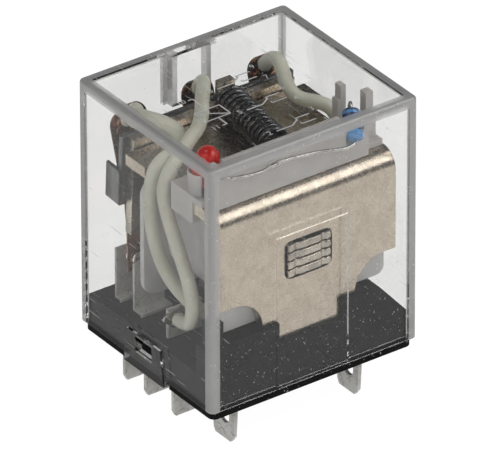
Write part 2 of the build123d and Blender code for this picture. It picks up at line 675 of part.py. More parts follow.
def make_coil_terminal(x):
    """Coil terminal: a blade across Y with a thin tag above the deck for the coil's wire."""
    half = COIL_HALF
    outline = [
        (-half, 0), (-half + 0.35, -BLADE_LEN + 1.0), (-half + 1.1, -BLADE_LEN),
        (half - TIP_BEVEL[0], -BLADE_LEN), (half - TIP_DRAFT, -BLADE_LEN + TIP_BEVEL[1]), (half, 0),
        (half, COIL_NECK_Z), (COIL_TAG[1], COIL_NECK_Z), (COIL_TAG[1], COIL_TAG_TOP),
        (COIL_TAG[0], COIL_TAG_TOP), (COIL_TAG[0], COIL_NECK_Z), (-half, COIL_NECK_Z),
    ]
    blade = plate_yz([(COIL_BLADE_Y + y, z) for y, z in outline], x - BLADE_T / 2, BLADE_T)
    hole = Plane(origin=(x - THROUGH, COIL_BLADE_Y, HOLE_Z), x_dir=(0, 0, 1), z_dir=(1, 0, 0))
    return blade - extrude(hole * SlotOverall(HOLE_H, HOLE_W), 2 * THROUGH)


# ---- flexible leads ------------------------------------------------------------------------------
# Each goes from a moving blade's head over the top, down beside the coil and in to a common terminal.
LEAD_ROUTES = [
    [(-10.2, 10.3, 29.9), (-10.7, 8.6, 31.6), (-12.0, 6.4, 32.3), (-12.1, 4.4, 32.8), (-11.2, 2.4, 32.9),
     (-10.2, 0.6, 32.3), (-10.4, -0.9, 31.5), (-11.7, -1.3, 31.2), (-12.8, -0.6, 30.3), (-12.95, 0.8, 28.0),
     (-12.95, 1.6, 24.4), (-12.95, 1.2, 20.3), (-12.8, 0.0, 16.4), (-12.4, -1.8, 13.8), (-11.5, -4.0, 11.6),
     (-9.9, -6.4, 9.9), (-7.2, -7.0, 8.5), (-4.6, -5.4, 7.9), (-2.6, -2.9, 7.7)],
    [(-0.2, 10.3, 29.9), (-0.7, 8.6, 32.2), (-2.0, 6.4, 33.1), (-4.3, 3.6, 33.3), (-6.8, 0.1, 33.4),
     (-9.0, -2.2, 33.4), (-11.0, -3.2, 33.0), (-12.5, -3.6, 31.9), (-12.95, -2.9, 30.2), (-12.95, -1.7, 28.0),
     (-12.95, -1.3, 25.6), (-12.95, -2.6, 22.4), (-12.95, -4.6, 19.2), (-12.95, -6.6, 15.9),
     (-12.95, -7.5, 12.9), (-12.95, -7.1, 10.5), (-12.5, -5.4, 9.1), (-12.0, -3.0, 8.4)],
    [(9.8, 10.3, 29.9), (9.7, 8.3, 32.1), (9.3, 6.0, 32.6), (8.5, 3.9, 30.7), (8.8, 1.8, 29.45),
     (10.6, -0.3, 29.45), (12.1, -1.7, 28.4), (12.25, -2.4, 24.6), (12.1, -2.8, 20.2), (12.1, -3.4, 16.0),
     (12.0, -4.8, 12.4), (11.8, -5.3, 9.8), (11.6, -4.2, 8.3), (11.6, -2.6, 8.1)],
]
ARC_SHARE = 0.45
LARGEST_ARC = 40.0


def corner_radii(points):
    """Largest tangent arc at each corner that its two runs allow."""
    radii = []
    for before, here, after in zip(points, points[1:], points[2:]):
        run_in = Vector(*here) - Vector(*before)
        run_out = Vector(*after) - Vector(*here)
        half_turn = math.radians(run_in.get_angle(run_out)) / 2
        radius = ARC_SHARE * min(run_in.length, run_out.length) / math.tan(half_turn)
        radii.append(min(radius, LARGEST_ARC))
    return radii


def make_flex_lead(points):
    """Insulated lead from a moving blade's head down to its common terminal."""
    radii = corner_radii(points)
    print("lead radii, mm:", [round(radius, 1) for radius in radii])
    return bent_wire(points, radii, LEAD_D)


# ---- write one STEP per piece --------------------------------------------------------------------
def pieces():
    """Every piece of the relay, by node name."""
    named = {
        "cover": make_cover(),
        "base": make_base(),
        "yoke": make_yoke(),
        "core_laminations": make_core(),
        "shading_ring": make_shading_ring(),
        "bobbin": make_bobbin(),
        "coil_winding": make_winding(),
        "coil_tape": make_tape(),
        "coil_wires": make_coil_wires(),
        "indicator_holder": make_holder(),
        "led_lens": make_led(),
        "led_leads": make_led_leads(),
        "link_wire": make_link_wire(),
        "resistor_body": make_resistor(),
        "resistor_leads": make_resistor_leads(),
        "solder_joint": make_solder_joint(),
        "return_spring": make_return_spring(),
        "armature": make_armature(),
        "contact_carrier": make_carrier(),
        "carrier_rivets": make_rivets(),
        "moving_contacts": make_moving_contacts(),
        "fixed_contacts_nc": make_fixed_contacts(NC_SEAT - STRIP_T / 2 - BURY, NC_FACE),
        "fixed_contacts_no": make_fixed_contacts(NO_SEAT + STRIP_T / 2 + BURY, NO_FACE),
    }
    for number, pole in enumerate(POLES, 1):
        named[f"movable_spring_{number}"] = make_movable_spring(pole)
        named[f"nc_terminal_{number}"] = make_nc_terminal(pole)
        named[f"no_terminal_{number}"] = make_no_terminal(pole)
        named[f"com_terminal_{number}"] = make_com_terminal(pole)
        named[f"flex_lead_{number}"] = make_flex_lead(LEAD_ROUTES[number - 1])
    for number, x in enumerate(COIL_BLADE_X, 1):
        named[f"coil_terminal_{number}"] = make_coil_terminal(x)
    return named


os.makedirs("parts", exist_ok=True)
for name, shape in pieces().items():
    export_step(shape, f"parts/{name}.step")
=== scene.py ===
"""Looks of a plug-in power relay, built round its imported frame.

Every size in the classes is in millimetres in the relay's own frame: the origin is the middle of the
seating face, +Z goes up through the cover and -Y is the side of the yoke plate. MM turns them into metres.
"""

from __future__ import annotations

import json
import logging
import math
from dataclasses import dataclass
from enum import Enum

import bmesh
import bpy
import numpy as np
from mathutils import Matrix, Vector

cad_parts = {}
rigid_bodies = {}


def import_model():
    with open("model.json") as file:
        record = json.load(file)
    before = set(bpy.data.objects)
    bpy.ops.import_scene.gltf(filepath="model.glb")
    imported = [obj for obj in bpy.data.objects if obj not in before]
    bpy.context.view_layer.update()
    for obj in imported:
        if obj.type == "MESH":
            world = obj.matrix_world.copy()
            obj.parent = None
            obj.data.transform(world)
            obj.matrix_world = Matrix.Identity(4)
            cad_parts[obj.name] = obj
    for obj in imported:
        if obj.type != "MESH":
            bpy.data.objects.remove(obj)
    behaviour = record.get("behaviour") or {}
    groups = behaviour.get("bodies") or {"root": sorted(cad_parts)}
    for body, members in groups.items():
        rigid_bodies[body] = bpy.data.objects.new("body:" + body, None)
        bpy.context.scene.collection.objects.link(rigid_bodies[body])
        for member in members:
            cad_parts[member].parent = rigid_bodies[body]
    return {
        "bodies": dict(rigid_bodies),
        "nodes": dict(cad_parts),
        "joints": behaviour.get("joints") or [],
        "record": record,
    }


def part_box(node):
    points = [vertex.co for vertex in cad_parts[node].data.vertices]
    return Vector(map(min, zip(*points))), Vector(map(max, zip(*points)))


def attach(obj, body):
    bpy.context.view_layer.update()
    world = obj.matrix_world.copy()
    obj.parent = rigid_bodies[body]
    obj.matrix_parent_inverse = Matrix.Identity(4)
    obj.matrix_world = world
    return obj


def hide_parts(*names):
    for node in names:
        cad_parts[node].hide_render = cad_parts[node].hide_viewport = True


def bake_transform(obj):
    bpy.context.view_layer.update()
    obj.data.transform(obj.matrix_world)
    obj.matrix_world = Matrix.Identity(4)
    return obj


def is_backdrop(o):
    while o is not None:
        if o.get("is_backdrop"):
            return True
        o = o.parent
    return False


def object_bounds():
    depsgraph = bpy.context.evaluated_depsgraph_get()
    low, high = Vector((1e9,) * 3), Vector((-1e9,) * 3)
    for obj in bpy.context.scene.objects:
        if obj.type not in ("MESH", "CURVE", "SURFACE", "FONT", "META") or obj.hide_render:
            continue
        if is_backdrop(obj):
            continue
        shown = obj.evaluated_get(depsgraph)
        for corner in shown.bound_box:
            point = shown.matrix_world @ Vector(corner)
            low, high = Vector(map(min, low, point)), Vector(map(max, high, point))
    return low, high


MM = 0.001
Colour = tuple[float, float, float]
Point = tuple[float, float, float]
log = logging.getLogger("relay")


# ---------------------------------------------------------------------------------------------------
# Surfaces
# ---------------------------------------------------------------------------------------------------
@dataclass
class Surface:
    """A skin in millimetres: its points and the faces between them."""

    points: np.ndarray
    faces: list[list[int]]

    @staticmethod
    def grid(points: np.ndarray, close_rows: bool = False, close_columns: bool = False) -> Surface:
        """Join a grid of points by quads: corner (i, j), (i, j+1), (i+1, j+1), (i+1, j).

        Args:
            points: Array of rows by columns by 3.
            close_rows: Whether the last row meets the first.
            close_columns: Whether the last column meets the first.

        Returns:
            The quad surface.
        """
        rows, columns = points.shape[:2]
        i = np.arange(rows if close_rows else rows - 1)[:, None]
        j = np.arange(columns if close_columns else columns - 1)[None, :]
        here, right = i * columns + j, i * columns + (j + 1) % columns
        down = ((i + 1) % rows) * columns
        quads = np.stack([here, right, down + (j + 1) % columns, down + j], axis=-1)
        return Surface(points.reshape(-1, 3), quads.reshape(-1, 4).tolist())

    @staticmethod
    def capped(rings: np.ndarray) -> Surface:
        """Close a stack of rings at both ends with a fan about each end ring's middle.

        Args:
            rings: Array of rings by points round each ring by 3.

        Returns:
            The closed surface.
        """
        skin = Surface.grid(rings, close_columns=True)
        count, around = rings.shape[:2]
        first, last = count * around, count * around + 1
        ends = np.stack([rings[0].mean(axis=0), rings[-1].mean(axis=0)])
        j = np.arange(around)
        k = (j + 1) % around
        low = np.stack([np.full(around, first), k, j], axis=1)
        top = (count - 1) * around
        high = np.stack([np.full(around, last), top + j, top + k], axis=1)
        return Surface(np.concatenate([skin.points, ends]), skin.faces + low.tolist() + high.tolist())

    @staticmethod
    def joined(parts: list[Surface]) -> Surface:
        """Put several surfaces into one, each keeping its own faces."""
        points, faces, start = [], [], 0
        for part in parts:
            points.append(part.points)
            faces += [[start + corner for corner in face] for face in part.faces]
            start += len(part.points)
        return Surface(np.concatenate(points), faces)

    def mesh(self, name: str, smooth: bool = True) -> bpy.types.Mesh:
        """Make the Blender mesh, in metres, with its faces pointing outwards."""
        data = bpy.data.meshes.new(name)
        data.from_pydata((self.points * MM).tolist(), [], self.faces)
        work = bmesh.new()
        work.from_mesh(data)
        bmesh.ops.recalc_face_normals(work, faces=work.faces)
        work.to_mesh(data)
        work.free()
        data.polygons.foreach_set("use_smooth", np.full(len(data.polygons), smooth))
        data.update()
        return data


def unit(vectors: np.ndarray) -> np.ndarray:
    """Scale each vector to length one."""
    return vectors / np.maximum(np.linalg.norm(vectors, axis=-1, keepdims=True), 1e-12)


def smooth_route(route: list[Point], stations: int) -> np.ndarray:
    """Points along the clamped quadratic B-spline whose control points are the route.

    Each span blends three neighbouring control points a, b, c with the weights (1-t)^2/2,
    (1+2t-2t^2)/2 and t^2/2; each end point is used twice, so the line starts and stops on the route's ends.

    Args:
        route: Control points.
        stations: Number of points wanted along the line.

    Returns:
        Array of stations by 3.
    """
    control = np.array(route, float)
    control = np.concatenate([control[:1], control, control[-1:]])
    spans = len(control) - 2
    place = np.linspace(0, spans, stations)
    index = np.minimum(place.astype(int), spans - 1)
    t = (place - index)[:, None]
    a, b, c = control[index], control[index + 1], control[index + 2]
    return a * (1 - t) ** 2 / 2 + b * (1 + 2 * t - 2 * t**2) / 2 + c * t**2 / 2


def carried_frames(path: np.ndarray) -> tuple[np.ndarray, np.ndarray]:
    """Two cross directions at every station, turned as little as possible from one to the next.

    The first direction is carried along by taking away the part of it that lies along each tangent.

    Args:
        path: Array of stations by 3.

    Returns:
        The two arrays of cross directions.
    """
    tangent = unit(np.gradient(path, axis=0))
    helper = np.eye(3)[np.argmin(np.abs(tangent[0]))]
    side = unit(np.cross(tangent[0], helper))
    sides = np.empty_like(path)
    for station, along in enumerate(tangent):
        side = unit(side - along * (side @ along))
        sides[station] = side
    return sides, np.cross(tangent, sides)


def tube(path: np.ndarray, radius: float | np.ndarray, sides: int = 20, lobes: int = 0,
         lobe: float = 0.0, twist: float = 0.0) -> Surface:
    """Closed tube round a path: point = path + r (cos a * side + sin a * up).

    Its radius r = radius (1 + lobe cos(lobes a + twist s)) makes ridges that turn along it.

    Args:
        path: Array of stations by 3.
        radius: One radius, or one for each station.
        sides: Points round the tube.
        lobes: Number of ridges round the tube, as strands have.
        lobe: Height of the ridges as a share of the radius.
        twist: How far the ridges turn in all along the tube, in radians.

    Returns:
        The closed surface.
    """
    side, up = carried_frames(path)
    around = np.linspace(0, 2 * np.pi, sides, endpoint=False)[None, :]
    turn = np.linspace(0, twist, len(path))[:, None]
    size = np.broadcast_to(np.asarray(radius, float), (len(path),))[:, None]
    size = size * (1 + lobe * np.cos(lobes * around + turn))
    rings = (path[:, None] + (size * np.cos(around))[..., None] * side[:, None]
             + (size * np.sin(around))[..., None] * up[:, None])
    return Surface.capped(rings)


def turned(profile: list[tuple[float, float]], origin: Point, axis: Point, sides: int = 36) -> Surface:
    """Lathe shape: each (radius, height) of the profile becomes a ring about the axis.

    Args:
        profile: Radius and height pairs from one end to the other.
        origin: Where height zero is.
        axis: Direction of growing height.
        sides: Points round each ring.

    Returns:
        The closed surface.
    """
    line = np.array(profile, float)
    along = unit(np.array(axis, float))
    helper = np.eye(3)[np.argmin(np.abs(along))]
    side = unit(np.cross(along, helper))
    up = np.cross(along, side)
    around = np.linspace(0, 2 * np.pi, sides, endpoint=False)
    ring = np.cos(around)[:, None] * side + np.sin(around)[:, None] * up
    rings = np.array(origin) + line[:, 1, None, None] * along + line[:, 0, None, None] * ring[None]
    return Surface.capped(rings)


def blob(centre: Point, radii: Point, lump: float, seed: int, rows: int = 20, columns: int = 28) -> Surface:
    """Lumpy ball of solder: an ellipsoid whose size is changed by a few random waves over its directions.

    Args:
        centre: Middle of the ball.
        radii: Half sizes along X, Y and Z.
        lump: Height of the waves as a share of the size.
        seed: Seed of the waves.
        rows: Rings from pole to pole.
        columns: Points round each ring.

    Returns:
        The closed surface.
    """
    chance = np.random.default_rng(seed)
    polar = np.linspace(0.02, np.pi - 0.02, rows)[:, None]
    around = np.linspace(0, 2 * np.pi, columns, endpoint=False)[None, :]
    direction = np.stack([np.sin(polar) * np.cos(around), np.sin(polar) * np.sin(around),
                          np.cos(polar) * np.ones_like(around)], axis=-1)
    waves = chance.normal(size=(5, 3)) * 2.2
    swell = np.sin(direction @ waves.T + chance.uniform(0, 6, 5)).mean(axis=-1, keepdims=True)
    return Surface.capped(np.array(centre) + direction * (1 + lump * swell) * np.array(radii))


# ---------------------------------------------------------------------------------------------------
# Finishes
# ---------------------------------------------------------------------------------------------------
class Graph:
    """Lays the nodes of one material and wires them."""

    def __init__(self, name: str) -> None:
        """Start an empty material.

        Args:
            name: The material's name.
        """
        self.material = bpy.data.materials.new(f"{name}_finish")
        self.material.use_nodes = True
        self.tree = self.material.node_tree
        self.tree.nodes.clear()
        self.place = self.add("ShaderNodeTexCoord").outputs["Object"]

    def add(self, kind: str, settings: dict | None = None, **inputs: object) -> bpy.types.Node:
        """Add a node, set its properties, and set or wire its inputs by name or number.

        Args:
            kind: Blender's name for the node type.
            settings: Properties of the node.
            **inputs: Values or output sockets, by input name with _ for a space, or i0, i1 for a number.

        Returns:
            The node.
        """
        node = self.tree.nodes.new(kind)
        for key, value in (settings or {}).items():
            setattr(node, key, value)
        for key, value in inputs.items():
            number = key[1:].isdigit() and key[0] == "i"
            socket = node.inputs[int(key[1:])] if number else node.inputs[key.replace("_", " ")]
            if isinstance(value, bpy.types.NodeSocket):
                self.tree.links.new(value, socket)
            elif socket.type == "RGBA":
                socket.default_value = (*value, 1.0)
            else:
                socket.default_value = value
        return node

    def stretched(self, scale: Point, turn: Point = (0, 0, 0)) -> bpy.types.NodeSocket:
        """Object coordinates, turned and scaled unevenly, for drawn or brushed patterns."""
        return self.add("ShaderNodeMapping", Vector=self.place, Scale=scale, Rotation=turn).outputs[0]

    def noise(self, size: float, detail: float = 3.0, rough: float = 0.55,
              place: bpy.types.NodeSocket | None = None, warp: float = 0.0) -> bpy.types.NodeSocket:
        """Cloudy pattern whose features are about size millimetres across."""
        node = self.add("ShaderNodeTexNoise", Vector=place or self.place, Scale=1 / (size * MM),
                        Detail=detail, Roughness=rough, Distortion=warp)
        return node.outputs["Fac"]

    def cells(self, size: float, feature: str = "F1", chance: float = 1.0) -> bpy.types.NodeSocket:
        """Distance inside random cells about size millimetres across."""
        node = self.add("ShaderNodeTexVoronoi", {"feature": feature}, Vector=self.place,
                        Scale=1 / (size * MM), Randomness=chance)
        return node.outputs["Distance"]

    def steps(self, source: bpy.types.NodeSocket, low: float, high: float,
              out_low: float = 0.0, out_high: float = 1.0) -> bpy.types.NodeSocket:
        """Map low..high of a pattern to out_low..out_high, clamped, with a smooth run between."""
        node = self.add("ShaderNodeMapRange", {"interpolation_type": "SMOOTHSTEP"}, Value=source,
                        From_Min=low, From_Max=high, To_Min=out_low, To_Max=out_high)
        return node.outputs[0]

    def mixed(self, factor: object, first: object, second: object) -> bpy.types.NodeSocket:
        """Colour between two colours by a factor."""
        node = self.add("ShaderNodeMix", {"data_type": "RGBA"}, i0=factor, i6=first, i7=second)
        return node.outputs[2]

    def sums(self, operation: str, first: object, second: object = 0.0) -> bpy.types.NodeSocket:
        """One arithmetic step on two numbers."""
        return self.add("ShaderNodeMath", {"operation": operation}, i0=first, i1=second).outputs[0]

    def axis(self, name: str) -> bpy.types.NodeSocket:
        """One of X, Y and Z of the object coordinates, in metres."""
        return self.add("ShaderNodeSeparateXYZ", i0=self.place).outputs[name]

    def span(self, name: str, size: bool = False) -> bpy.types.NodeSocket:
        """One coordinate in millimetres, or only its size."""
        value = self.axis(name)
        return self.sums("DIVIDE", self.sums("ABSOLUTE", value) if size else value, MM)

    def bump(self, height: bpy.types.NodeSocket, depth: float,
             under: bpy.types.NodeSocket | None = None) -> bpy.types.NodeSocket:
        """Surface relief of the given depth in millimetres, on top of another relief if one is given."""
        node = self.add("ShaderNodeBump", Height=height, Distance=depth * MM, Strength=1.0)
        if under is not None:
            self.tree.links.new(under, node.inputs["Normal"])
        return node.outputs[0]

    def shade(self, **inputs: object) -> bpy.types.Node:
        """Add the general shader with these inputs."""
        return self.add("ShaderNodeBsdfPrincipled", **inputs)

    def close(self, shader: bpy.types.NodeSocket) -> bpy.types.Material:
        """Wire a shader to the output and hand over the material."""
        self.add("ShaderNodeOutputMaterial", Surface=shader)
        return self.material


@dataclass(frozen=True)
class Moulded:
    """Injection-moulded plastic: mottled colour, uneven gloss, fine grain and handling scratches."""

    name: str
    colour: Colour
    shade: Colour
    mottle: float = 2.0
    roughness: tuple[float, float] = (0.35, 0.5)
    grain: float = 0.12
    grain_depth: float = 0.004
    scratch: float = 0.0
    through: float = 0.0
    soft: float = 0.0
    coat: float = 0.0
    specular: float = 0.5

    def material(self) -> bpy.types.Material:
        """Make the material."""
        g = Graph(self.name)
        colour = g.mixed(g.steps(g.noise(self.mottle, 4), 0.3, 0.7), self.colour, self.shade)
        gloss = g.steps(g.noise(self.mottle * 0.6, 5), 0.3, 0.72, *self.roughness)
        if self.scratch:
            lines = g.sums("MAXIMUM", self.hairlines(g, 0.6), self.hairlines(g, -0.9))
            colour = g.mixed(g.sums("MULTIPLY", lines, self.scratch), colour, (0.55, 0.55, 0.55))
        relief = g.bump(g.noise(self.grain, 2), self.grain_depth)
        relief = g.bump(g.noise(self.mottle * 1.5, 2), self.grain_depth * 3, relief)
        body = g.shade(Base_Color=colour, Roughness=gloss, Normal=relief, Transmission_Weight=self.through,
                       Subsurface_Weight=self.soft, Subsurface_Scale=0.8 * MM,
                       Subsurface_Radius=(1.0, 1.0, 1.0), IOR=1.49, Coat_Weight=self.coat,
                       Coat_Roughness=0.12, Specular_IOR_Level=self.specular)
        return g.close(body.outputs[0])

    @staticmethod
    def hairlines(g: Graph, turn: float) -> bpy.types.NodeSocket:
        """Sparse thin scratches: the crests of a pattern stretched along one direction."""
        place = g.stretched((1.0, 0.045, 1.0), (turn, 0.7 * turn, turn))
        return g.steps(g.noise(0.35, 1, 0.4, place), 0.735, 0.75)


@dataclass(frozen=True)
class Plated:
    """Plated sheet metal: warm mottling, dark pin specks, fine orange peel and a satin sheen."""

    name: str
    colour: Colour
    shade: Colour
    roughness: tuple[float, float] = (0.28, 0.4)
    speck: float = 0.6
    speck_size: float = 0.5
    peel: float = 0.09
    peel_depth: float = 0.003
    stain: float = 0.0
    lines: float = 0.0
    metal: float = 1.0

    def material(self) -> bpy.types.Material:
        """Make the material."""
        g = Graph(self.name)
        colour = g.mixed(g.steps(g.noise(3.0, 5), 0.35, 0.65), self.colour, self.shade)
        dark = tuple(0.3 * channel for channel in self.shade)
        if self.speck:
            pins = g.sums("MULTIPLY", g.steps(g.cells(self.speck_size), 0.16, 0.07),
                          g.steps(g.noise(0.9, 2), 0.5, 0.62))
            colour = g.mixed(g.sums("MULTIPLY", pins, self.speck), colour, dark)
        if self.stain:
            cloud = g.steps(g.noise(1.3, 6, 0.65, warp=0.6), 0.5, 0.68)
            colour = g.mixed(g.sums("MULTIPLY", cloud, self.stain), colour, (0.23, 0.21, 0.17))
        if self.lines:
            cracks = g.steps(g.cells(1.7, "DISTANCE_TO_EDGE"), 0.035, 0.01)
            part = g.sums("MULTIPLY", cracks, g.steps(g.noise(1.1, 2), 0.46, 0.6))
            colour = g.mixed(g.sums("MULTIPLY", part, self.lines), colour, (0.10, 0.09, 0.075))
        gloss = g.steps(g.noise(0.8, 4), 0.3, 0.7, *self.roughness)
        relief = g.bump(g.noise(self.peel, 3, 0.6), self.peel_depth)
        relief = g.bump(g.noise(1.6, 2), self.peel_depth * 1.5, relief)
        body = g.shade(Base_Color=colour, Metallic=self.metal, Roughness=gloss, Normal=relief)
        return g.close(body.outputs[0])


@dataclass(frozen=True)
class FluxedBronze:
    """Bronze strip with brown flux burnt onto it above a height: bare copper colour, brown, then black."""

    name: str
    copper: Colour = (0.58, 0.30, 0.15)
    brown: Colour = (0.20, 0.085, 0.04)
    black: Colour = (0.018, 0.014, 0.012)
    flux_foot: float = 24.5

    def material(self) -> bpy.types.Material:
        """Make the material."""
        g = Graph(self.name)
        height = g.span("Z")
        cloud = g.noise(1.0, 5, 0.6, warp=0.8)
        reach = g.sums("ADD", height, g.sums("MULTIPLY", cloud, 6.0))
        burnt = g.steps(reach, self.flux_foot + 1.0, self.flux_foot + 5.5)
        colour = g.mixed(g.steps(cloud, 0.35, 0.65), self.copper, self.brown)
        patch = g.sums("MULTIPLY", g.steps(g.noise(0.8, 4, 0.6), 0.45, 0.56), burnt)
        colour = g.mixed(patch, colour, self.black)
        metal = g.steps(patch, 0.0, 0.9, 0.95, 0.1)
        relief = g.bump(g.noise(0.5, 4), 0.05, g.bump(g.noise(0.15, 2), 0.006))
        body = g.shade(Base_Color=colour, Metallic=metal, Roughness=g.steps(cloud, 0.3, 0.7, 0.16, 0.36),
                       Normal=relief, Coat_Weight=0.7, Coat_Roughness=0.06)
        return g.close(body.outputs[0])


@dataclass(frozen=True)
class ClearPolycarbonate:
    """Clear cover: bends light, lets lamps through to what it holds, is lightly scratched, and has painted
    grey light on its wall corners and rear ribs.
    """

    name: str = "clear_cover"
    tint: Colour = (0.975, 0.975, 0.968)
    lamp_tint: Colour = (0.90, 0.90, 0.89)
    index: float = 1.585
    # Painted light: grey colour laid on the wall corners and rear ribs.
    frost: Colour = (0.56, 0.555, 0.545)
    side_at: tuple[float, float] = (14.2, 14.4)
    face_at: tuple[float, float] = (12.6, 12.8)
    top_at: tuple[float, float] = (34.25, 34.5)
    # Share of transmission given up at the corners and ribs to the painted edge light.
    veil: float = 0.62
    rib_at: float = 2.9
    rib_reach: float = 0.75
    rib_back: float = 11.4
    rib_foot: float = 27.4

    def edges(self, g: Graph) -> bpy.types.NodeSocket:
        """Mask of the painted edge light: where two walls meet, the second largest of the walls' own
        shares, and on the two rear ribs.
        """
        side = g.steps(g.span("X", True), *self.side_at)
        face = g.steps(g.span("Y", True), *self.face_at)
        top = g.steps(g.span("Z"), *self.top_at)
        pairs = [g.sums("MINIMUM", side, face), g.sums("MINIMUM", side, top), g.sums("MINIMUM", face, top)]
        both = g.sums("MAXIMUM", g.sums("MAXIMUM", pairs[0], pairs[1]), pairs[2])
        off = g.sums("ABSOLUTE", g.sums("SUBTRACT", g.span("X", True), self.rib_at))
        back = g.steps(g.span("Y"), self.rib_back, self.rib_back + 0.3)
        raised = g.steps(g.span("Z"), self.rib_foot, self.rib_foot + 0.2)
        rib = g.sums("MULTIPLY", g.steps(off, self.rib_reach, self.rib_reach - 0.1),
                     g.sums("MULTIPLY", back, raised))
        both = g.sums("MAXIMUM", both, g.sums("MULTIPLY", rib, 0.9))
        return g.sums("MULTIPLY", both, g.steps(g.noise(3.0, 4), 0.2, 0.7, 0.75, 1.0))

    def material(self) -> bpy.types.Material:
        """Make the material."""
        g = Graph(self.name)
        lines = g.sums("MAXIMUM", Moulded.hairlines(g, 0.5), Moulded.hairlines(g, -1.2))
        worn = g.sums("MULTIPLY", lines, g.steps(g.noise(5.0, 3), 0.45, 0.6))
        gloss = g.sums("ADD", g.sums("MULTIPLY", worn, 0.35), g.steps(g.noise(4.0, 3), 0.4, 0.8, 0.0, 0.03))
        relief = g.bump(g.noise(9.0, 1), 0.01, g.bump(worn, 0.003))
        edge = self.edges(g)
        gloss = g.sums("ADD", gloss, g.sums("MULTIPLY", edge, 0.25))
        # Painted light: grey colour and less transmission on the corners and ribs stand in for the light
        # their rounded edges gather.
        glass = g.shade(Base_Color=g.mixed(edge, self.tint, self.frost), Roughness=gloss, IOR=self.index,
                        Transmission_Weight=g.sums("SUBTRACT", 1.0, g.sums("MULTIPLY", edge, self.veil)),
                        Normal=relief)
        clear = g.add("ShaderNodeBsdfTransparent", Color=self.lamp_tint)
        lamp = g.add("ShaderNodeLightPath").outputs["Is Shadow Ray"]
        mix = g.add("ShaderNodeMixShader", i0=lamp, i1=glass.outputs[0], i2=clear.outputs[0])
        return g.close(mix.outputs[0])


@dataclass(frozen=True)
class LampLens:
    """Red diffused lens: deep red body with milky scatter under a clear skin."""

    name: str = "red_lens"
    deep: Colour = (0.62, 0.006, 0.004)
    bright: Colour = (0.92, 0.03, 0.015)

    def material(self) -> bpy.types.Material:
        """Make the material."""
        g = Graph(self.name)
        colour = g.mixed(g.steps(g.noise(1.2, 2), 0.3, 0.7), self.deep, self.bright)
        body = g.shade(Base_Color=colour, Roughness=g.steps(g.noise(0.6, 3), 0.3, 0.7, 0.12, 0.22),
                       Transmission_Weight=0.25, Subsurface_Weight=0.5, Subsurface_Scale=1.2 * MM,
                       Subsurface_Radius=(1.0, 0.1, 0.05), IOR=1.5, Coat_Weight=0.4,
                       Normal=g.bump(g.noise(0.8, 2), 0.004))
        return g.close(body.outputs[0])


@dataclass(frozen=True)
class BandedCoat:
    """Resistor's enamel: bright blue glossy front end, then dark blue bands along its axis."""

    name: str = "resistor_coat"
    coat: Colour = (0.075, 0.24, 0.50)
    band: Colour = (0.02, 0.035, 0.12)
    front: Point = (7.55, -11.4, 31.25)
    way: Point = (0.4167, 0.6846, 0.5953)
    bands: tuple[tuple[float, float], ...] = ((1.15, 1.55), (2.1, 2.4), (2.85, 3.5))

    def material(self) -> bpy.types.Material:
        """Make the material."""
        g = Graph(self.name)
        along = None
        for name, start, share in zip("XYZ", self.front, self.way):
            part = g.sums("MULTIPLY", g.sums("SUBTRACT", g.axis(name), start * MM), share / MM)
            along = part if along is None else g.sums("ADD", along, part)
        dark = None
        for low, high in self.bands:
            inside = g.sums("MULTIPLY", g.steps(along, low - 0.04, low), g.steps(along, high + 0.04, high))
            dark = inside if dark is None else g.sums("MAXIMUM", dark, inside)
        base = g.mixed(g.steps(g.noise(0.9, 3), 0.3, 0.7), self.coat, tuple(1.35 * c for c in self.coat))
        body = g.shade(Base_Color=g.mixed(dark, base, self.band), Coat_Weight=0.8, Coat_Roughness=0.05,
                       Roughness=g.steps(g.noise(0.5, 2), 0.3, 0.7, 0.14, 0.26),
                       Normal=g.bump(g.noise(0.35, 2), 0.01))
        return g.close(body.outputs[0])


@dataclass(frozen=True)
class Sleeve:
    """Cream insulation of the flexible leads: soft sheen, faint scuffs and grey handling marks."""

    name: str = "cream_sleeve"
    colour: Colour = (0.69, 0.69, 0.59)
    shade: Colour = (0.60, 0.60, 0.50)

    def material(self) -> bpy.types.Material:
        """Make the material."""
        g = Graph(self.name)
        colour = g.mixed(g.steps(g.noise(2.2, 4), 0.3, 0.7), self.colour, self.shade)
        scuff = g.sums("MULTIPLY", g.steps(g.noise(0.5, 4, 0.7), 0.66, 0.72), 0.6)
        colour = g.mixed(scuff, colour, (0.16, 0.15, 0.12))
        body = g.shade(Base_Color=colour, Roughness=g.steps(g.noise(0.8, 3), 0.3, 0.7, 0.36, 0.5),
                       Subsurface_Weight=0.15, Subsurface_Scale=0.4 * MM, Sheen_Weight=0.08,
                       Normal=g.bump(g.noise(0.3, 3), 0.012))
        return g.close(body.outputs[0])


@dataclass(frozen=True)
class WoundWire:
    """Enamelled wire laid turn by turn: fine ridges across Y over a copper-brown metal, with painted shade
    in the grooves and a lighter colour on the crests.
    """

    name: str = "enamelled_copper"
    pitch: float = 0.16
    # Crest colour, and the painted shade of the grooves between turns.
    light: Colour = (0.62, 0.27, 0.10)
    dark: Colour = (0.30, 0.11, 0.045)

    def material(self) -> bpy.types.Material:
        """Make the material."""
        g = Graph(self.name)
        ridge = g.sums("SINE", g.sums("MULTIPLY", g.axis("Y"), 2 * math.pi / (self.pitch * MM)))
        # Painted shade: darker in the grooves between turns, lighter on the crests.
        colour = g.mixed(g.steps(ridge, -1.0, 0.6), self.dark, self.light)
        body = g.shade(Base_Color=colour, Metallic=0.8, Normal=g.bump(ridge, 0.02), Coat_Weight=0.5,
                       Roughness=g.steps(g.noise(1.5, 3), 0.3, 0.7, 0.22, 0.36))
        return g.close(body.outputs[0])


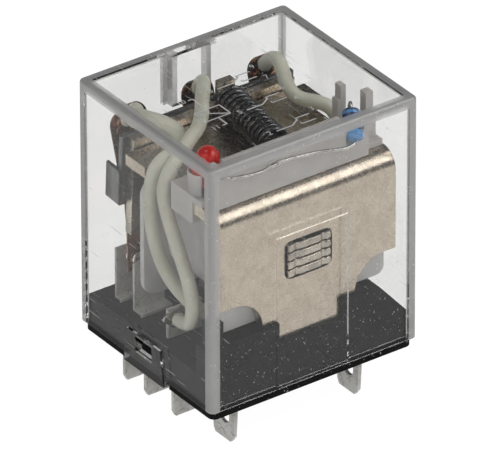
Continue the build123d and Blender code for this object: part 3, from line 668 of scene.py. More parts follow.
@dataclass(frozen=True)
class Ink:
    """Thin pad-printed ink with worn patches."""

    name: str = "print_ink"
    colour: Colour = (0.80, 0.80, 0.79)

    def material(self) -> bpy.types.Material:
        """Make the material."""
        g = Graph(self.name)
        worn = tuple(0.8 * channel for channel in self.colour)
        colour = g.mixed(g.steps(g.noise(0.4, 4), 0.5, 0.75), self.colour, worn)
        body = g.shade(Base_Color=colour, Roughness=g.steps(g.noise(0.3, 2), 0.3, 0.7, 0.45, 0.6))
        return g.close(body.outputs[0])


class Finishes(Enum):
    """The finishes of the relay, by the record's material slot; the ink has no slot of its own."""

    clear_cover = ClearPolycarbonate()
    black_moulding = Moulded("black_moulding", (0.004, 0.004, 0.0042), (0.009, 0.009, 0.0095),
                             roughness=(0.38, 0.55), scratch=0.75, specular=0.1)
    plated_iron = Plated("plated_iron", (0.565, 0.495, 0.41), (0.50, 0.435, 0.355), (0.2, 0.32), 0.8, 0.35,
                         peel=0.22, peel_depth=0.011)
    bare_iron = Plated("bare_iron", (0.56, 0.51, 0.44), (0.40, 0.365, 0.32), (0.2, 0.34), 0.4,
                       peel=0.3, peel_depth=0.012)
    copper = Plated("copper", (0.70, 0.36, 0.22), (0.52, 0.26, 0.15), speck=0.2)
    white_moulding = Moulded("white_moulding", (0.68, 0.675, 0.665), (0.60, 0.595, 0.585), 3.0, (0.3, 0.42),
                             soft=0.35)
    enamelled_copper = WoundWire()
    white_tape = Moulded("white_tape", (0.72, 0.70, 0.69), (0.64, 0.62, 0.61), 1.5, (0.35, 0.5), 0.2, 0.006)
    translucent_moulding = Moulded("translucent_moulding", (0.70, 0.675, 0.655), (0.63, 0.605, 0.585), 3.0,
                                   (0.3, 0.42), through=0.25, soft=0.45)
    red_lens = LampLens()
    tinned_wire = Plated("tinned_wire", (0.66, 0.65, 0.62), (0.46, 0.45, 0.43), (0.14, 0.3), 0.0, peel=0.2,
                         peel_depth=0.015)
    resistor_coat = BandedCoat()
    black_steel = Plated("black_steel", (0.17, 0.17, 0.172), (0.10, 0.10, 0.102), (0.14, 0.22), 0.0)
    dark_moulding = Moulded("dark_moulding", (0.020, 0.023, 0.029), (0.048, 0.044, 0.042), 1.6, (0.1, 0.22),
                            0.5, 0.04, through=0.12, coat=0.9)
    silver_contact = Plated("silver_contact", (0.83, 0.82, 0.79), (0.70, 0.69, 0.66), (0.16, 0.3), 0.2)
    bronze_strip = FluxedBronze("bronze_strip")
    tinned_brass = Plated("tinned_brass", (0.66, 0.65, 0.62), (0.54, 0.53, 0.50), (0.38, 0.55), 0.5, 0.4,
                          stain=0.4, lines=0.6, metal=0.2)
    cream_sleeve = Sleeve()
    print_ink = Ink()

    def made(self) -> bpy.types.Material:
        """Make the material, or find it if it is made already."""
        return bpy.data.materials.get(f"{self.value.name}_finish") or self.value.material()


# ---------------------------------------------------------------------------------------------------
# Workshop
# ---------------------------------------------------------------------------------------------------
class Workshop:
    """Holds the frame, finishes its nodes and fits new pieces to its bodies."""

    def __init__(self) -> None:
        """Load the frame and give every node its slot's finish."""
        self.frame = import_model()
        record = self.frame["record"]
        self.slots = {part["node"]: part["material_slot"] for part in record["subparts"]}
        bodies = record["behaviour"]["bodies"]
        self.bodies = {node: body for body, nodes in bodies.items() for node in nodes}
        for node in self.frame["nodes"]:
            self.dress(self.frame["nodes"][node], Finishes[self.slots[node]])

    @staticmethod
    def dress(piece: bpy.types.Object, finish: Finishes) -> None:
        """Put one finish on every material slot of a piece."""
        if not piece.material_slots:
            piece.data.materials.append(finish.made())
        for slot in piece.material_slots:
            slot.material = finish.made()

    def add(self, name: str, surface: Surface, like: str, finish: Finishes | None = None,
            replaces: bool = False, smooth: bool = True,
            span: tuple[Point, Point] | None = None) -> bpy.types.Object:
        """Make a piece that takes a node's slot and rides with its body.

        Args:
            name: The piece's name.
            surface: Its shape in millimetres.
            like: The node whose body and slot it shares.
            finish: Its finish, if not the slot's own.
            replaces: Whether it stands for that node.
            smooth: Whether it is shaded smooth.
            span: A stretch from the still parts to the armature; if one is given, the piece joins no body
                and keeps its place.

        Returns:
            The new object.
        """
        piece = bpy.data.objects.new(name, surface.mesh(name, smooth))
        return self.fit(piece, like, finish, replaces, span)

    def fit(self, piece: bpy.types.Object, like: str, finish: Finishes | None = None,
            replaces: bool = False, span: tuple[Point, Point] | None = None) -> bpy.types.Object:
        """Link a piece, join it to its body unless a span is given, give it its slot and report it."""
        bpy.context.scene.collection.objects.link(piece)
        slot = finish.name if finish else self.slots[like]
        self.dress(piece, Finishes[slot])
        if span:
            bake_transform(piece)
        else:
            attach(piece, self.bodies[like])
        if replaces:
            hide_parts(like)
        log.info("%s: %d faces", piece.name, len(piece.data.polygons))
        return piece

    def soften(self, node: str, width: float, segments: int = 2) -> bpy.types.Object:
        """Stand a copy of a node in its place, with every sharp edge broken by a small round.

        Args:
            node: The node to copy.
            width: Width of the round in millimetres.
            segments: Faces across the round.

        Returns:
            The new object.
        """
        data = self.frame["nodes"][node].data.copy()
        data.name = f"{node}_soft"
        work = bmesh.new()
        work.from_mesh(data)
        bmesh.ops.remove_doubles(work, verts=work.verts, dist=1e-6)
        bmesh.ops.dissolve_limit(work, angle_limit=math.radians(0.5), verts=work.verts, edges=work.edges)
        work.to_mesh(data)
        work.free()
        piece = bpy.data.objects.new(f"{node}_soft", data)
        if data.attributes.get("custom_normal"):
            data.attributes.remove(data.attributes["custom_normal"])
        data.polygons.foreach_set("use_smooth", np.full(len(data.polygons), True))
        edge = piece.modifiers.new("edge", "BEVEL")
        edge.width = width * MM
        edge.segments = segments
        edge.limit_method = "ANGLE"
        edge.angle_limit = math.radians(35)
        edge.harden_normals = True
        return self.fit(piece, node, replaces=True)


# ---------------------------------------------------------------------------------------------------
# Sub-assemblies
# ---------------------------------------------------------------------------------------------------
@dataclass
class CoverPrint:
    """Wiring diagram printed on the cover's top: a coil, three changeover contacts and pin numbers."""

    line: float = 0.11
    lift: float = 0.012
    number_size: float = 1.25

    def build(self, shop: Workshop) -> None:
        """Print the diagram."""
        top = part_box("cover")[1].z / MM + self.lift
        strokes = self.coil() + [line for row in range(3) for line in self.contact(row)]
        lines = [self.stroke(points, top) for points in strokes]
        piece = shop.add("cover_print_lines", Surface.joined(lines), "cover")
        shop.dress(piece, Finishes.print_ink)
        for number, (x, y) in self.numbers():
            self.figure(shop, number, x, y, top)

    @staticmethod
    def coil() -> list[list[tuple[float, float]]]:
        """Coil symbol: a box with one wire from each short side."""
        x0, x1, y0, y1 = -9.0, -5.3, -3.8, -1.4
        middle = (x0 + x1) / 2
        return [
            [(x0, y0), (x1, y0), (x1, y1), (x0, y1), (x0, y0)],
            [(x0, y1), (x1, y0)],
            [(middle, y1), (middle, 1.6), (-7.8, 1.6)],
            [(middle, y0), (middle, -5.6), (-7.8, -5.6)],
        ]

    @staticmethod
    def contact(row: int) -> list[list[tuple[float, float]]]:
        """Changeover contact symbol: a wiper and the two fixed contacts it moves between."""
        y = -10.2 + 6.2 * row
        return [
            [(-3.3, y - 0.4), (-0.9, y - 0.4), (0.5, y + 0.5)],
            [(0.3, y + 0.75), (2.4, y + 0.75)],
            [(0.3, y - 0.75), (2.4, y - 0.75)],
            [(0.3, y + 0.75), (0.3, y + 0.35)],
            [(0.3, y - 0.75), (0.3, y - 0.35)],
        ]

    def numbers(self) -> list[tuple[str, tuple[float, float]]]:
        """Pin numbers beside the symbols."""
        rows = [(str(3 * row + 1 + place), (3.0, -10.2 + 6.2 * row + 1.5 * (place - 1) - 0.4))
                for row in range(3) for place in (0, 2)]
        common = [(str(3 * row + 2), (-4.6, -10.9 + 6.2 * row)) for row in range(3)]
        return rows + common + [("10", (-9.4, 1.3)), ("11", (-9.4, -6.0))]

    def stroke(self, points: list[tuple[float, float]], top: float) -> Surface:
        """Flat inked line: a thin tube pressed down to a twentieth of its height."""
        path = np.array([(x, y, 0.0) for x, y in points])
        dense = np.concatenate([np.linspace(a, b, 6) for a, b in zip(path, path[1:])])
        keep = np.concatenate([[True], np.linalg.norm(np.diff(dense, axis=0), axis=1) > 1e-6])
        shape = tube(dense[keep], self.line, 8)
        shape.points[:, 2] = top + shape.points[:, 2] * 0.05
        return shape

    def figure(self, shop: Workshop, number: str, x: float, y: float, top: float) -> None:
        """Print one pin number."""
        text = bpy.data.curves.new(f"pin_{number}", "FONT")
        text.body = number
        text.size = self.number_size * MM
        text.extrude = 0.004 * MM
        holder = bpy.data.objects.new(f"pin_{number}", text)
        bpy.context.scene.collection.objects.link(holder)
        bpy.context.view_layer.update()
        data = bpy.data.meshes.new_from_object(holder.evaluated_get(bpy.context.evaluated_depsgraph_get()))
        bpy.data.objects.remove(holder)
        work = bmesh.new()
        work.from_mesh(data)
        bmesh.ops.remove_doubles(work, verts=work.verts, dist=1e-7)
        bmesh.ops.translate(work, verts=work.verts, vec=(x * MM, y * MM, top * MM))
        work.to_mesh(data)
        work.free()
        piece = bpy.data.objects.new(f"cover_print_{number}", data)
        shop.fit(piece, "cover")
        shop.dress(piece, Finishes.print_ink)


@dataclass
class Magnet:
    """Yoke, laminated core with its staked ends, and shading ring."""

    edge: float = 0.12
    stake_low: float = 0.02
    stake_high: float = 0.30
    half_width: float = 3.25
    gap: float = 0.09
    # Width of the painted gap shade beyond the strips.
    rim: float = 0.24

    def build(self, shop: Workshop) -> None:
        """Round the yoke's edges, upset the core's ends and lay painted shade round them."""
        shop.soften("yoke", self.edge)
        low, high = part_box("core_laminations")
        front, bottom, top = low.y / MM, low.z / MM, high.z / MM
        pitch = (top - bottom) / 4
        strips = [self.strip_end(front, bottom + i * pitch + self.gap, bottom + (i + 1) * pitch - self.gap)
                  for i in range(4)]
        shop.add("core_stake", Surface.joined(strips), "core_laminations")
        # Painted shade: a thin black sheet over the plate round the strips stands in for the shaded gap.
        shop.add("stake_gap_shade", self.recess(front, bottom, top), "core_laminations",
                 Finishes.black_moulding)

    def recess(self, front: float, bottom: float, top: float) -> Surface:
        """Painted shade in the gap round the strips: a thin dark oblong, |x/a|^8 + |z/b|^8 = 1, just over
        the plate.
        """
        turn = np.linspace(0, 2 * np.pi, 64, endpoint=False)
        reach = (np.abs(np.cos(turn)) ** 8 + np.abs(np.sin(turn)) ** 8) ** (-1 / 8)
        x = (self.half_width + self.rim) * reach * np.cos(turn)
        z = (bottom + top) / 2 + ((top - bottom) / 2 + self.rim) * reach * np.sin(turn)
        return Surface.capped(np.stack([np.stack([x, np.full_like(x, y), z], axis=-1)
                                        for y in (front + 0.04, front - 0.015)]))

    def strip_end(self, front: float, bottom: float, top: float) -> Surface:
        """Upset end of one strip: a plateau over the plate with a soft and a sharp groove and round ends.

        The height falls to nothing at the border as sqrt(1 - t^4) across the strip, and is pressed down by
        two bell curves along it.
        """
        u = np.linspace(-1, 1, 61)[None, :]
        v = np.linspace(-1, 1, 15)[:, None]
        plateau = np.sqrt(np.clip(1 - u**24, 0, 1)) * np.sqrt(np.clip(1 - v**6, 0, 1))
        groove = np.exp(-(((u + 0.58) / 0.13) ** 2)) + 1.1 * np.exp(-(((u - 0.64) / 0.10) ** 4))
        height = self.stake_low + self.stake_high * plateau * (1 - 0.85 * np.clip(groove, 0, 1))
        x = u * self.half_width * np.ones_like(v)
        z = (bottom + top) / 2 + v * (top - bottom) / 2 * np.ones_like(u)
        face = np.stack([x, front - height, z], axis=-1)
        back = np.stack([x, np.full_like(x, front + 0.05), z], axis=-1)
        rings = np.concatenate([back[:1], face, back[-1:]])
        skin = Surface.grid(rings, close_rows=True)
        rows, columns = rings.shape[:2]
        left = [i * columns for i in range(rows)]
        right = [i * columns + columns - 1 for i in range(rows)]
        return Surface(skin.points, skin.faces + [left, right])


@dataclass
class Coil:
    """Bobbin, winding and the white tape round it."""

    edge: float = 0.15
    corner: float = 3.75
    turns: float = 1.18
    tape: float = 0.12
    step: float = 0.06
    wrinkle: float = 0.02

    def build(self, shop: Workshop) -> None:
        """Round the bobbin's edges and wrap the tape."""
        shop.soften("bobbin", self.edge)
        shop.add("coil_tape_wrap", self.wrap(), "coil_tape", replaces=True)

    def wrap(self) -> Surface:
        """Tape: an oblong with round corners that laps over itself by a fifth of a turn.

        Each angle's point is the middle of its own corner plus the corner's radius along the angle. The lap
        lies one step further out, and shallow waves that only ever lift the tape make wrinkles.
        """
        low, high = (np.array(corner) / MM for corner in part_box("coil_tape"))
        centre, half = (low + high) / 2, (high - low) / 2
        turn = np.linspace(0, 2 * np.pi * self.turns, 190)[None, :]
        y = np.linspace(low[1], high[1], 24)[:, None]
        lap = self.step * np.clip((turn - 2 * np.pi * 0.97) / 0.3, 0, 1)
        waves = self.wrinkle * (1 + np.sin(3 * turn + 1.1 * y) * np.sin(0.9 * y + 2 * turn))
        angle = turn - 2.6
        skins = []
        for radius in (self.corner + lap + waves, self.corner - self.tape + lap + waves):
            x = centre[0] + np.sign(np.cos(angle)) * (half[0] - self.corner) + radius * np.cos(angle)
            z = centre[2] + np.sign(np.sin(angle)) * (half[2] - self.corner) + radius * np.sin(angle)
            skins.append(np.stack([x, y * np.ones_like(turn), z], axis=-1))
        skin = np.concatenate([skins[0], skins[1][::-1]])
        grid = Surface.grid(skin, close_rows=True)
        rows, columns = skin.shape[:2]
        start = [i * columns for i in range(rows)]
        end = [i * columns + columns - 1 for i in range(rows)]
        return Surface(grid.points, grid.faces + [start, end])


@dataclass
class Indicator:
    """Translucent holder, red lamp, resistor and the wires between them."""

    edge: float = 0.1
    wire: float = 0.25
    front_y: float = -11.9
    twist: tuple[float, float] = (-5.7, -4.2)
    twist_z: float = 32.4
    resistor_front: Point = (7.55, -11.4, 31.25)
    resistor_rear: Point = (8.95, -9.1, 33.25)
    resistor_radius: float = 1.13
    resistor_neck: float = 0.14
    lamp_at: tuple[float, float] = (-11.3, -7.4)
    collar: tuple[float, float] = (28.95, 31.9)
    collar_radius: float = 1.95
    collar_wall: float = 0.15

    def build(self, shop: Workshop) -> None:
        """Finish the indicator's pieces."""
        shop.soften("indicator_holder", self.edge)
        shop.add("lamp_collar", self.guard(), "indicator_holder")
        self.resistor(shop)
        self.wires(shop)

    def guard(self) -> Surface:
        """Milky wall round the lamp's foot: an oblong section turned about it, open at the screen."""
        foot, head = self.collar
        outer, inner = self.collar_radius, self.collar_radius - self.collar_wall
        reach = np.array([inner, outer, outer, outer - 0.06, inner + 0.06, inner])[None, :]
        height = np.array([foot, foot, head - 0.08, head, head, head - 0.08])[None, :]
        turn = np.radians(np.linspace(-50, 230, 48))[:, None]
        x = self.lamp_at[0] + reach * np.cos(turn)
        y = self.lamp_at[1] + reach * np.sin(turn)
        return Surface.capped(np.stack([x, y, height * np.ones_like(turn)], axis=-1))

    def resistor(self, shop: Workshop) -> None:
        """Resistor body on its leaning axis: swollen ends, radius = full - neck * (1 - bell)."""
        start, end = np.array(self.resistor_front), np.array(self.resistor_rear)
        length = float(np.linalg.norm(end - start))
        t = np.linspace(0, 1, 49)
        bell = np.exp(-(((t - 0.16) / 0.18) ** 4)) + np.exp(-(((t - 0.84) / 0.18) ** 4))
        body = self.resistor_radius - self.resistor_neck * (1 - np.clip(bell, 0, 1))
        rounded = np.sqrt(np.clip(1 - (np.abs(2 * t - 1)) ** 9, 0.0, 1))
        profile = list(zip((body * np.maximum(rounded, 0.12)).tolist(), (t * length).tolist()))
        shape = turned(profile, self.resistor_front, tuple(end - start))
        shop.add("resistor_coated", shape, "resistor_body", replaces=True)

    def wires(self, shop: Workshop) -> None:
        """The two wires along the front, and the twist that joins them."""
        y = self.front_y
        link = [(-11.6, -9.45, 29.1), (-11.6, -9.45, 32.1), (-11.6, -9.7, 32.7), (-11.6, -11.4, 32.75),
                (-11.3, y, 32.65), (-9.6, y, 32.4), (-8.0, y, 32.15), (-6.8, y, 32.1), (-5.6, y, 32.3)]
        shop.add("lamp_wire", tube(smooth_route(link, 80), self.wire, 14), "link_wire", replaces=True)
        front = [(7.55, -11.4, 31.25), (7.2, -11.8, 31.1), (6.4, y, 31.0), (5.4, y, 31.0), (3.4, y, 31.5),
                 (1.3, y, 32.0), (-1.1, y, 32.3), (-2.9, y, 32.5), (-4.2, y, 32.55)]
        back = [(8.95, -9.1, 33.25), (9.2, -8.7, 33.6), (9.45, -8.3, 33.6), (9.6, -7.95, 32.9),
                (9.65, -7.75, 31.6), (9.65, -7.7, 28.95)]
        leads = [tube(smooth_route(front, 80), self.wire, 14), tube(smooth_route(back, 40), self.wire, 14)]
        shop.add("resistor_wires", Surface.joined(leads), "resistor_leads", replaces=True)
        self.joint(shop)

    def joint(self, shop: Workshop) -> None:
        """Twist: two wires on a double helix, with a drop of solder on them."""
        start, end = self.twist
        t = np.linspace(0, 1, 60)
        strands = []
        for phase in (0.0, math.pi):
            turn = 2 * math.pi * 1.6 * t + phase
            path = np.stack([start - 0.2 + (end - start + 0.4) * t, self.front_y + 0.16 * np.cos(turn),
                             self.twist_z - 0.1 + 0.2 * t + 0.2 * np.sin(turn)], axis=1)
            strands.append(tube(path, 0.2, 12))
        middle = (start + end) / 2
        strands.append(blob((middle - 0.1, self.front_y, self.twist_z), (0.75, 0.36, 0.34), 0.25, 4))
        strands.append(blob((end - 0.1, self.front_y, self.twist_z + 0.1), (0.35, 0.3, 0.38), 0.25, 6))
        shop.add("twist_soldered", Surface.joined(strands), "solder_joint", replaces=True)


@dataclass
class ReturnSpring:
    """Tension spring: close turns between two hooks."""

    turns: int = 12
    mean: float = 1.66
    wire: float = 0.34
    front: Point = (-0.5, -6.6, 30.4)
    rear: Point = (1.2, 6.0, 30.6)

    def build(self, shop: Workshop) -> None:
        """Wind the spring and hook it between the yoke and the armature."""
        shop.add("return_spring_wound", tube(self.path(), self.wire, 12), "return_spring", replaces=True,
                 span=(self.front, self.rear))

    def path(self) -> np.ndarray:
        """Middle line: a helix about the line from front to rear, with a hook from its rim at each end.

        Helix point = front + t (rear - front) + mean (cos a * side + sin a * up), a = 2 pi turns t.
        """
        start, end = np.array(self.front), np.array(self.rear)
        along = unit(end - start)
        side = unit(np.cross(along, np.array([0.0, 0.0, 1.0])))
        up = np.cross(side, along)
        t = np.linspace(0, 1, self.turns * 28)[:, None]
        angle = 2 * math.pi * self.turns * t
        inset = 0.45
        line = start + along * inset + t * (end - start - 2 * inset * along)
        helix = line + self.mean * (np.cos(angle) * side + np.sin(angle) * up)
        return np.concatenate([self.hook(start, -along, side, up)[::-1], helix,
                               self.hook(end, along, side, up)])

    def hook(self, end: np.ndarray, out: np.ndarray, side: np.ndarray, up: np.ndarray) -> np.ndarray:
        """Bent end: from the rim in to the axis, then a loop round the tab."""
        t = np.linspace(0.12, 1, 12)[:, None]
        fall = self.mean * (1 - t) * side + 0.9 * np.sin(math.pi * t) * up * 0.6
        rise = end + out * (0.05 + 0.35 * t) + fall
        turn = np.linspace(0, 1.25 * math.pi, 22)[1:, None]
        loop = rise[-1] + 0.55 * (np.sin(turn) * out + (1 - np.cos(turn)) * -up)
        return np.concatenate([rise, loop])


@dataclass
class MovingSystem:
    """Armature, carrier, contact blades and the solder on their heads."""

    edge: float = 0.1
    poles: tuple[float, ...] = (-10.0, 0.0, 10.0)

    def build(self, shop: Workshop) -> None:
        """Finish the moving pieces."""
        shop.soften("armature", self.edge)
        shop.soften("contact_carrier", 0.22, 3)
        for number in (1, 2, 3):
            shop.soften(f"movable_spring_{number}", 0.04)
        self.rivets(shop)
        self.contacts(shop)
        self.flux(shop)

    def rivets(self, shop: Workshop) -> None:
        """Domed rivet heads: radius falls as the square root of what is left of the height."""
        low, high = (np.array(corner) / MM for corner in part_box("carrier_rivets"))
        t = np.linspace(0, 1, 10)
        profile = [(1.1 * math.sqrt(max(1 - 0.97 * v * v, 0.0)), 0.55 * v) for v in t.tolist()]
        axis = (0.0, math.cos(math.radians(3.2)), math.sin(math.radians(3.2)))
        middle = (low + high) / 2
        start = middle - np.array(axis) * 0.26
        heads = [turned(profile, (x, start[1], start[2]), axis) for x in (low[0] + 1.1, high[0] - 1.1)]
        shop.add("rivet_heads", Surface.joined(heads), "carrier_rivets", replaces=True)

    def contacts(self, shop: Workshop) -> None:
        """Silver buttons: flat back, rounded rim and a slightly domed face."""
        low, high = (np.array(corner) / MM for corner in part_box("moving_contacts"))
        height = (low[2] + high[2]) / 2
        buttons = [self.button((pole, y, height), way, 0.95, 0.44)
                   for pole in self.poles for y, way in ((8.72, 1.0), (8.41, -1.0))]
        shop.add("moving_buttons", Surface.joined(buttons), "moving_contacts", replaces=True)
        for node, way, thick in (("fixed_contacts_nc", -1.0, 0.48), ("fixed_contacts_no", 1.0, 0.64)):
            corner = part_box(node)[1 if way < 0 else 0].y / MM
            row = [self.button((pole, corner, height), way, 1.05, thick) for pole in self.poles]
            shop.add(f"{node}_buttons", Surface.joined(row), node, replaces=True)

    @staticmethod
    def button(foot: Point, way: float, radius: float, thick: float) -> Surface:
        """One contact button, its foot on the strip."""
        profile = [(radius, 0.0), (radius, thick * 0.45), (radius * 0.95, thick * 0.72),
                   (radius * 0.82, thick * 0.88), (radius * 0.6, thick * 0.95),
                   (radius * 0.3, thick * 0.99), (0.02, thick)]
        return turned(profile, foot, (0, way, 0), 28)

    def flux(self, shop: Workshop) -> None:
        """Solder and burnt flux where each lead lands on its head."""
        for number, pole in enumerate(self.poles, 1):
            lumps = [blob((pole - 0.15, 10.45, 29.85), (1.35, 0.42, 0.95), 0.3, 10 + number),
                     blob((pole + 0.9, 10.2, 28.9), (0.8, 0.3, 0.7), 0.4, 20 + number),
                     blob((pole - 1.1, 10.15, 28.7), (0.7, 0.28, 0.8), 0.4, 30 + number)]
            like = f"movable_spring_{number}"
            shop.add(f"head_solder_{number}", Surface.joined(lumps), like)


@dataclass
class FlexLeads:
    """Cream flexible leads from the contact blades' heads to the common terminals."""

    radius: float = 0.9
    strand: float = 0.5
    bare_head: float = 0.8
    bare_foot: float = 1.1
    blend_from: float = 2.0

    def routes(self) -> list[list[Point]]:
        """The route of each lead, head first."""
        return [
            [(-10.2, 10.3, 29.9), (-10.7, 8.6, 31.6), (-12.0, 6.4, 32.3), (-12.1, 4.4, 32.8),
             (-11.2, 2.4, 32.9), (-10.2, 0.6, 32.3), (-10.4, -0.9, 31.5), (-11.7, -1.3, 31.2),
             (-12.8, -0.6, 30.3),
             (-12.95, 0.8, 28.0), (-12.95, 1.6, 24.4), (-12.95, 1.2, 20.3), (-12.8, 0.0, 16.4),
             (-12.4, -1.8, 13.8), (-11.5, -4.0, 11.6), (-9.9, -6.4, 9.9), (-7.2, -7.0, 8.5),
             (-4.6, -5.4, 7.9), (-2.6, -2.9, 7.7)],
            [(-0.2, 10.3, 29.9), (-0.7, 8.6, 32.2), (-2.0, 6.4, 33.1), (-4.3, 3.6, 33.3), (-6.8, 0.1, 33.4),
             (-9.0, -2.2, 33.4), (-11.0, -3.2, 33.0), (-12.5, -3.6, 31.9), (-12.95, -2.9, 30.2),
             (-12.95, -1.7, 28.0), (-12.95, -1.3, 25.6), (-12.95, -2.6, 22.4), (-12.95, -4.6, 19.2),
             (-12.95, -6.6, 15.9), (-12.95, -7.5, 12.9), (-12.95, -7.1, 10.5), (-12.5, -5.4, 9.1),
             (-12.0, -3.0, 8.4)],
            [(9.8, 10.3, 29.9), (9.7, 8.3, 32.1), (9.3, 6.0, 32.6), (8.5, 3.9, 30.7), (8.8, 1.8, 29.45),
             (10.6, -0.3, 29.45), (12.1, -1.7, 28.4), (12.25, -2.4, 24.6), (12.1, -2.8, 20.2),
             (12.1, -3.4, 16.0), (12.0, -4.8, 12.4), (11.8, -5.3, 9.8), (11.6, -4.2, 8.3),
             (11.6, -2.6, 8.1)],
        ]

    def build(self, shop: Workshop) -> None:
        """Lay the sleeves, bare the strands at both ends and solder the lower ones."""
        for number, route in enumerate(self.routes(), 1):
            path = smooth_route(route, 150)
            head = tuple(path[0])
            span = ((head[0], self.blend_from, head[2]), head)
            shop.add(f"lead_sleeve_{number}", self.sleeve(path, number), f"flex_lead_{number}",
                     replaces=True, span=span)
            strands = [self.strands(path[0], path[0] - path[2], self.bare_head),
                       self.strands(path[-1], path[-1] - path[-3], self.bare_foot)]
            shop.add(f"lead_strands_{number}", Surface.joined(strands), f"flex_lead_{number}",
                     Finishes.tinned_wire, span=span)
            foot = path[-1]
            lumps = [blob((foot[0], -1.95, foot[2] - 0.1), (1.5, 0.42, 1.0), 0.3, 40 + number),
                     blob((foot[0] + 0.3, -2.15, foot[2] - 0.8), (0.9, 0.35, 0.7), 0.35, 50 + number)]
            shop.add(f"tab_solder_{number}", Surface.joined(lumps), f"com_terminal_{number}",
                     Finishes.tinned_wire)

    def sleeve(self, path: np.ndarray, seed: int) -> Surface:
        """Sleeve whose radius wavers by a few hundredths along it and draws in at its cut ends."""
        s = np.linspace(0, 1, len(path))
        waver = 1 + 0.02 * np.sin(23 * s + seed) + 0.015 * np.sin(61 * s + 2 * seed)
        ends = 1 - 0.06 * np.exp(-(((s) / 0.01) ** 2)) - 0.06 * np.exp(-(((1 - s) / 0.01) ** 2))
        return tube(path, self.radius * waver * ends, 24)

    def strands(self, start: np.ndarray, way: np.ndarray, length: float) -> Surface:
        """Short bare end of twisted strands."""
        t = np.linspace(-0.3, 1, 14)[:, None]
        path = start + unit(way) * t * length
        return tube(path, self.strand, 24, 6, 0.14, 4.0)


@dataclass
class Terminals:
    """Blades and the strips that carry the fixed contacts."""

    edge: float = 0.06

    def build(self, shop: Workshop) -> None:
        """Break the edges of every terminal."""
        for number in (1, 2, 3):
            for row in ("nc", "no", "com"):
                shop.soften(f"{row}_terminal_{number}", self.edge)
        for number in (1, 2):
            shop.soften(f"coil_terminal_{number}", self.edge)


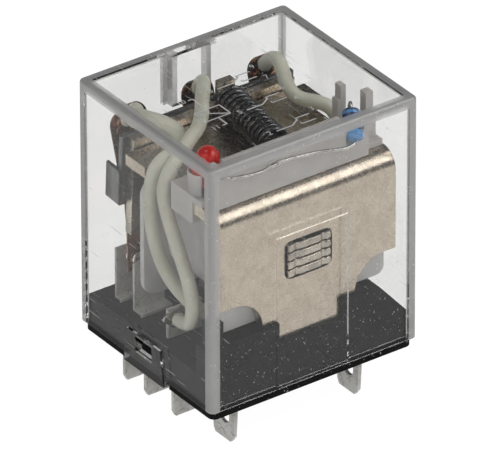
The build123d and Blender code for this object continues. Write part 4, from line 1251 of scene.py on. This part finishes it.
@dataclass
class Studio:
    """White table, soft lights and the camera."""

    azimuth: float = -35.652
    elevation: float = 31.202
    roll: float = -0.1292
    distance: float = 1480.48
    aim: Point = (0.0, 0.0, 18.443)
    slide: tuple[float, float] = (0.2422, -2.0795)
    focal: float = 867.33
    table: float = 900.0
    seen: float = 0.97
    mirrored: float = 0.3
    through: float = 0.95
    bounced: float = 0.95
    wall_crossings: float = 2.0

    def build(self) -> None:
        """Set the table, the lights and the camera."""
        self.floor()
        self.lights()
        self.camera()
        world = bpy.data.worlds.new("room")
        world.use_nodes = True
        world.node_tree.nodes["Background"].inputs["Color"].default_value = (0.9, 0.93, 1.0, 1)
        world.node_tree.nodes["Background"].inputs["Strength"].default_value = 0.06
        scene = bpy.context.scene
        scene.world = world
        scene.view_settings.view_transform = "Standard"
        scene.cycles.max_bounces = 40
        scene.cycles.transmission_bounces = 40
        scene.cycles.glossy_bounces = 40
        scene.cycles.diffuse_bounces = 3
        scene.cycles.transparent_max_bounces = 24

    def floor(self) -> None:
        """White sheet that the blades' tips stand on.

        It glows fully where it is seen, or seen through both walls of the cover, and less where one wall
        mirrors it, so its reflection does not veil what the cover holds.
        """
        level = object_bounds()[0][2] / MM
        u = np.linspace(-1, 1, 3)
        x, y = np.meshgrid(u * self.table, u * self.table)
        sheet = Surface.grid(np.stack([x, y, np.full_like(x, level)], axis=-1))
        piece = bpy.data.objects.new("table", sheet.mesh("table", False))
        bpy.context.scene.collection.objects.link(piece)
        g = Graph("table_white")
        colour = g.mixed(g.noise(60, 2), (0.11, 0.11, 0.11), (0.13, 0.13, 0.13))
        ray = g.add("ShaderNodeLightPath").outputs
        beyond = g.sums("MULTIPLY", ray["Is Transmission Ray"],
                        g.sums("GREATER_THAN", ray["Transmission Depth"], self.wall_crossings + 0.5))
        glow = g.sums("ADD", g.sums("MULTIPLY", ray["Is Camera Ray"], self.seen - self.mirrored),
                      self.mirrored)
        for share, level in ((beyond, self.through), (ray["Is Diffuse Ray"], self.bounced)):
            glow = g.sums("ADD", glow, g.sums("MULTIPLY", share, level - self.mirrored))
        body = g.shade(Base_Color=colour, Roughness=0.9, Emission_Color=(1.0, 1.0, 1.0),
                       Emission_Strength=glow)
        piece.data.materials.append(g.close(body.outputs[0]))
        piece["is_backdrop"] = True

    def lights(self) -> None:
        """A key softbox up in front, a broad fill from the left and a weak one behind."""
        self.softbox("key", (0.50, -0.52, 0.69), 420, 260, 0.62)
        self.softbox("left_fill", (-0.85, -0.25, 0.46), 520, 420, 0.68)
        self.softbox("front_fill", (-0.1, -0.95, 0.3), 520, 300, 0.25)
        self.softbox("top", (-0.15, 0.15, 0.97), 620, 240, 0.3)

    def softbox(self, name: str, way: Point, reach: float, size: float, power: float) -> None:
        """One square area light that faces the relay.

        Args:
            name: The light's name.
            way: Direction from the relay to the light.
            reach: Distance in millimetres.
            size: Side in millimetres.
            power: Brightness in watts.
        """
        light = bpy.data.lights.new(name, "AREA")
        light.size = size * MM
        light.energy = power
        holder = bpy.data.objects.new(name, light)
        direction = unit(np.array(way, float))
        holder.location = (np.array(self.aim) + direction * reach) * MM
        holder.rotation_euler = self.facing(direction, np.array([0.0, 0.0, 1.0]))
        bpy.context.scene.collection.objects.link(holder)

    @staticmethod
    def facing(back: np.ndarray, up: np.ndarray) -> tuple[float, float, float]:
        """Euler angles of a lamp or camera that looks along minus back."""
        right = unit(np.cross(up, back))
        above = np.cross(back, right)
        return tuple(Matrix(np.stack([right, above, back], axis=1).tolist()).to_euler())

    def camera(self) -> None:
        """Camera on a sphere about the aim point, slid sideways in its own plane and rolled."""
        az, el, roll = (math.radians(a) for a in (self.azimuth, self.elevation, self.roll))
        back = np.array([math.sin(az) * math.cos(el), -math.cos(az) * math.cos(el), math.sin(el)])
        right = np.array([math.cos(az), math.sin(az), 0.0])
        up = np.cross(back, right)
        across = right * math.cos(roll) + up * math.sin(roll)
        above = -right * math.sin(roll) + up * math.cos(roll)
        place = np.array(self.aim) + back * self.distance + across * self.slide[0] + above * self.slide[1]
        lens = bpy.data.cameras.new("camera")
        lens.lens = self.focal
        lens.sensor_width = 36.0
        lens.clip_end = 10.0
        holder = bpy.data.objects.new("camera", lens)
        holder.location = place * MM
        holder.rotation_euler = self.facing(back, above)
        bpy.context.scene.collection.objects.link(holder)
        bpy.context.scene.camera = holder


def main() -> None:
    """Build the relay's looks in order."""
    logging.basicConfig(level=logging.INFO, format="%(name)s: %(message)s")
    shop = Workshop()
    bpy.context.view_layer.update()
    Studio().build()
    shop.soften("base", 0.1)
    for assembly in (Magnet(), Coil(), Indicator(), ReturnSpring(), MovingSystem(), FlexLeads(),
                     Terminals(), CoverPrint()):
        assembly.build(shop)
        log.info("%s done", type(assembly).__name__)


if __name__ == "__main__":
    main()
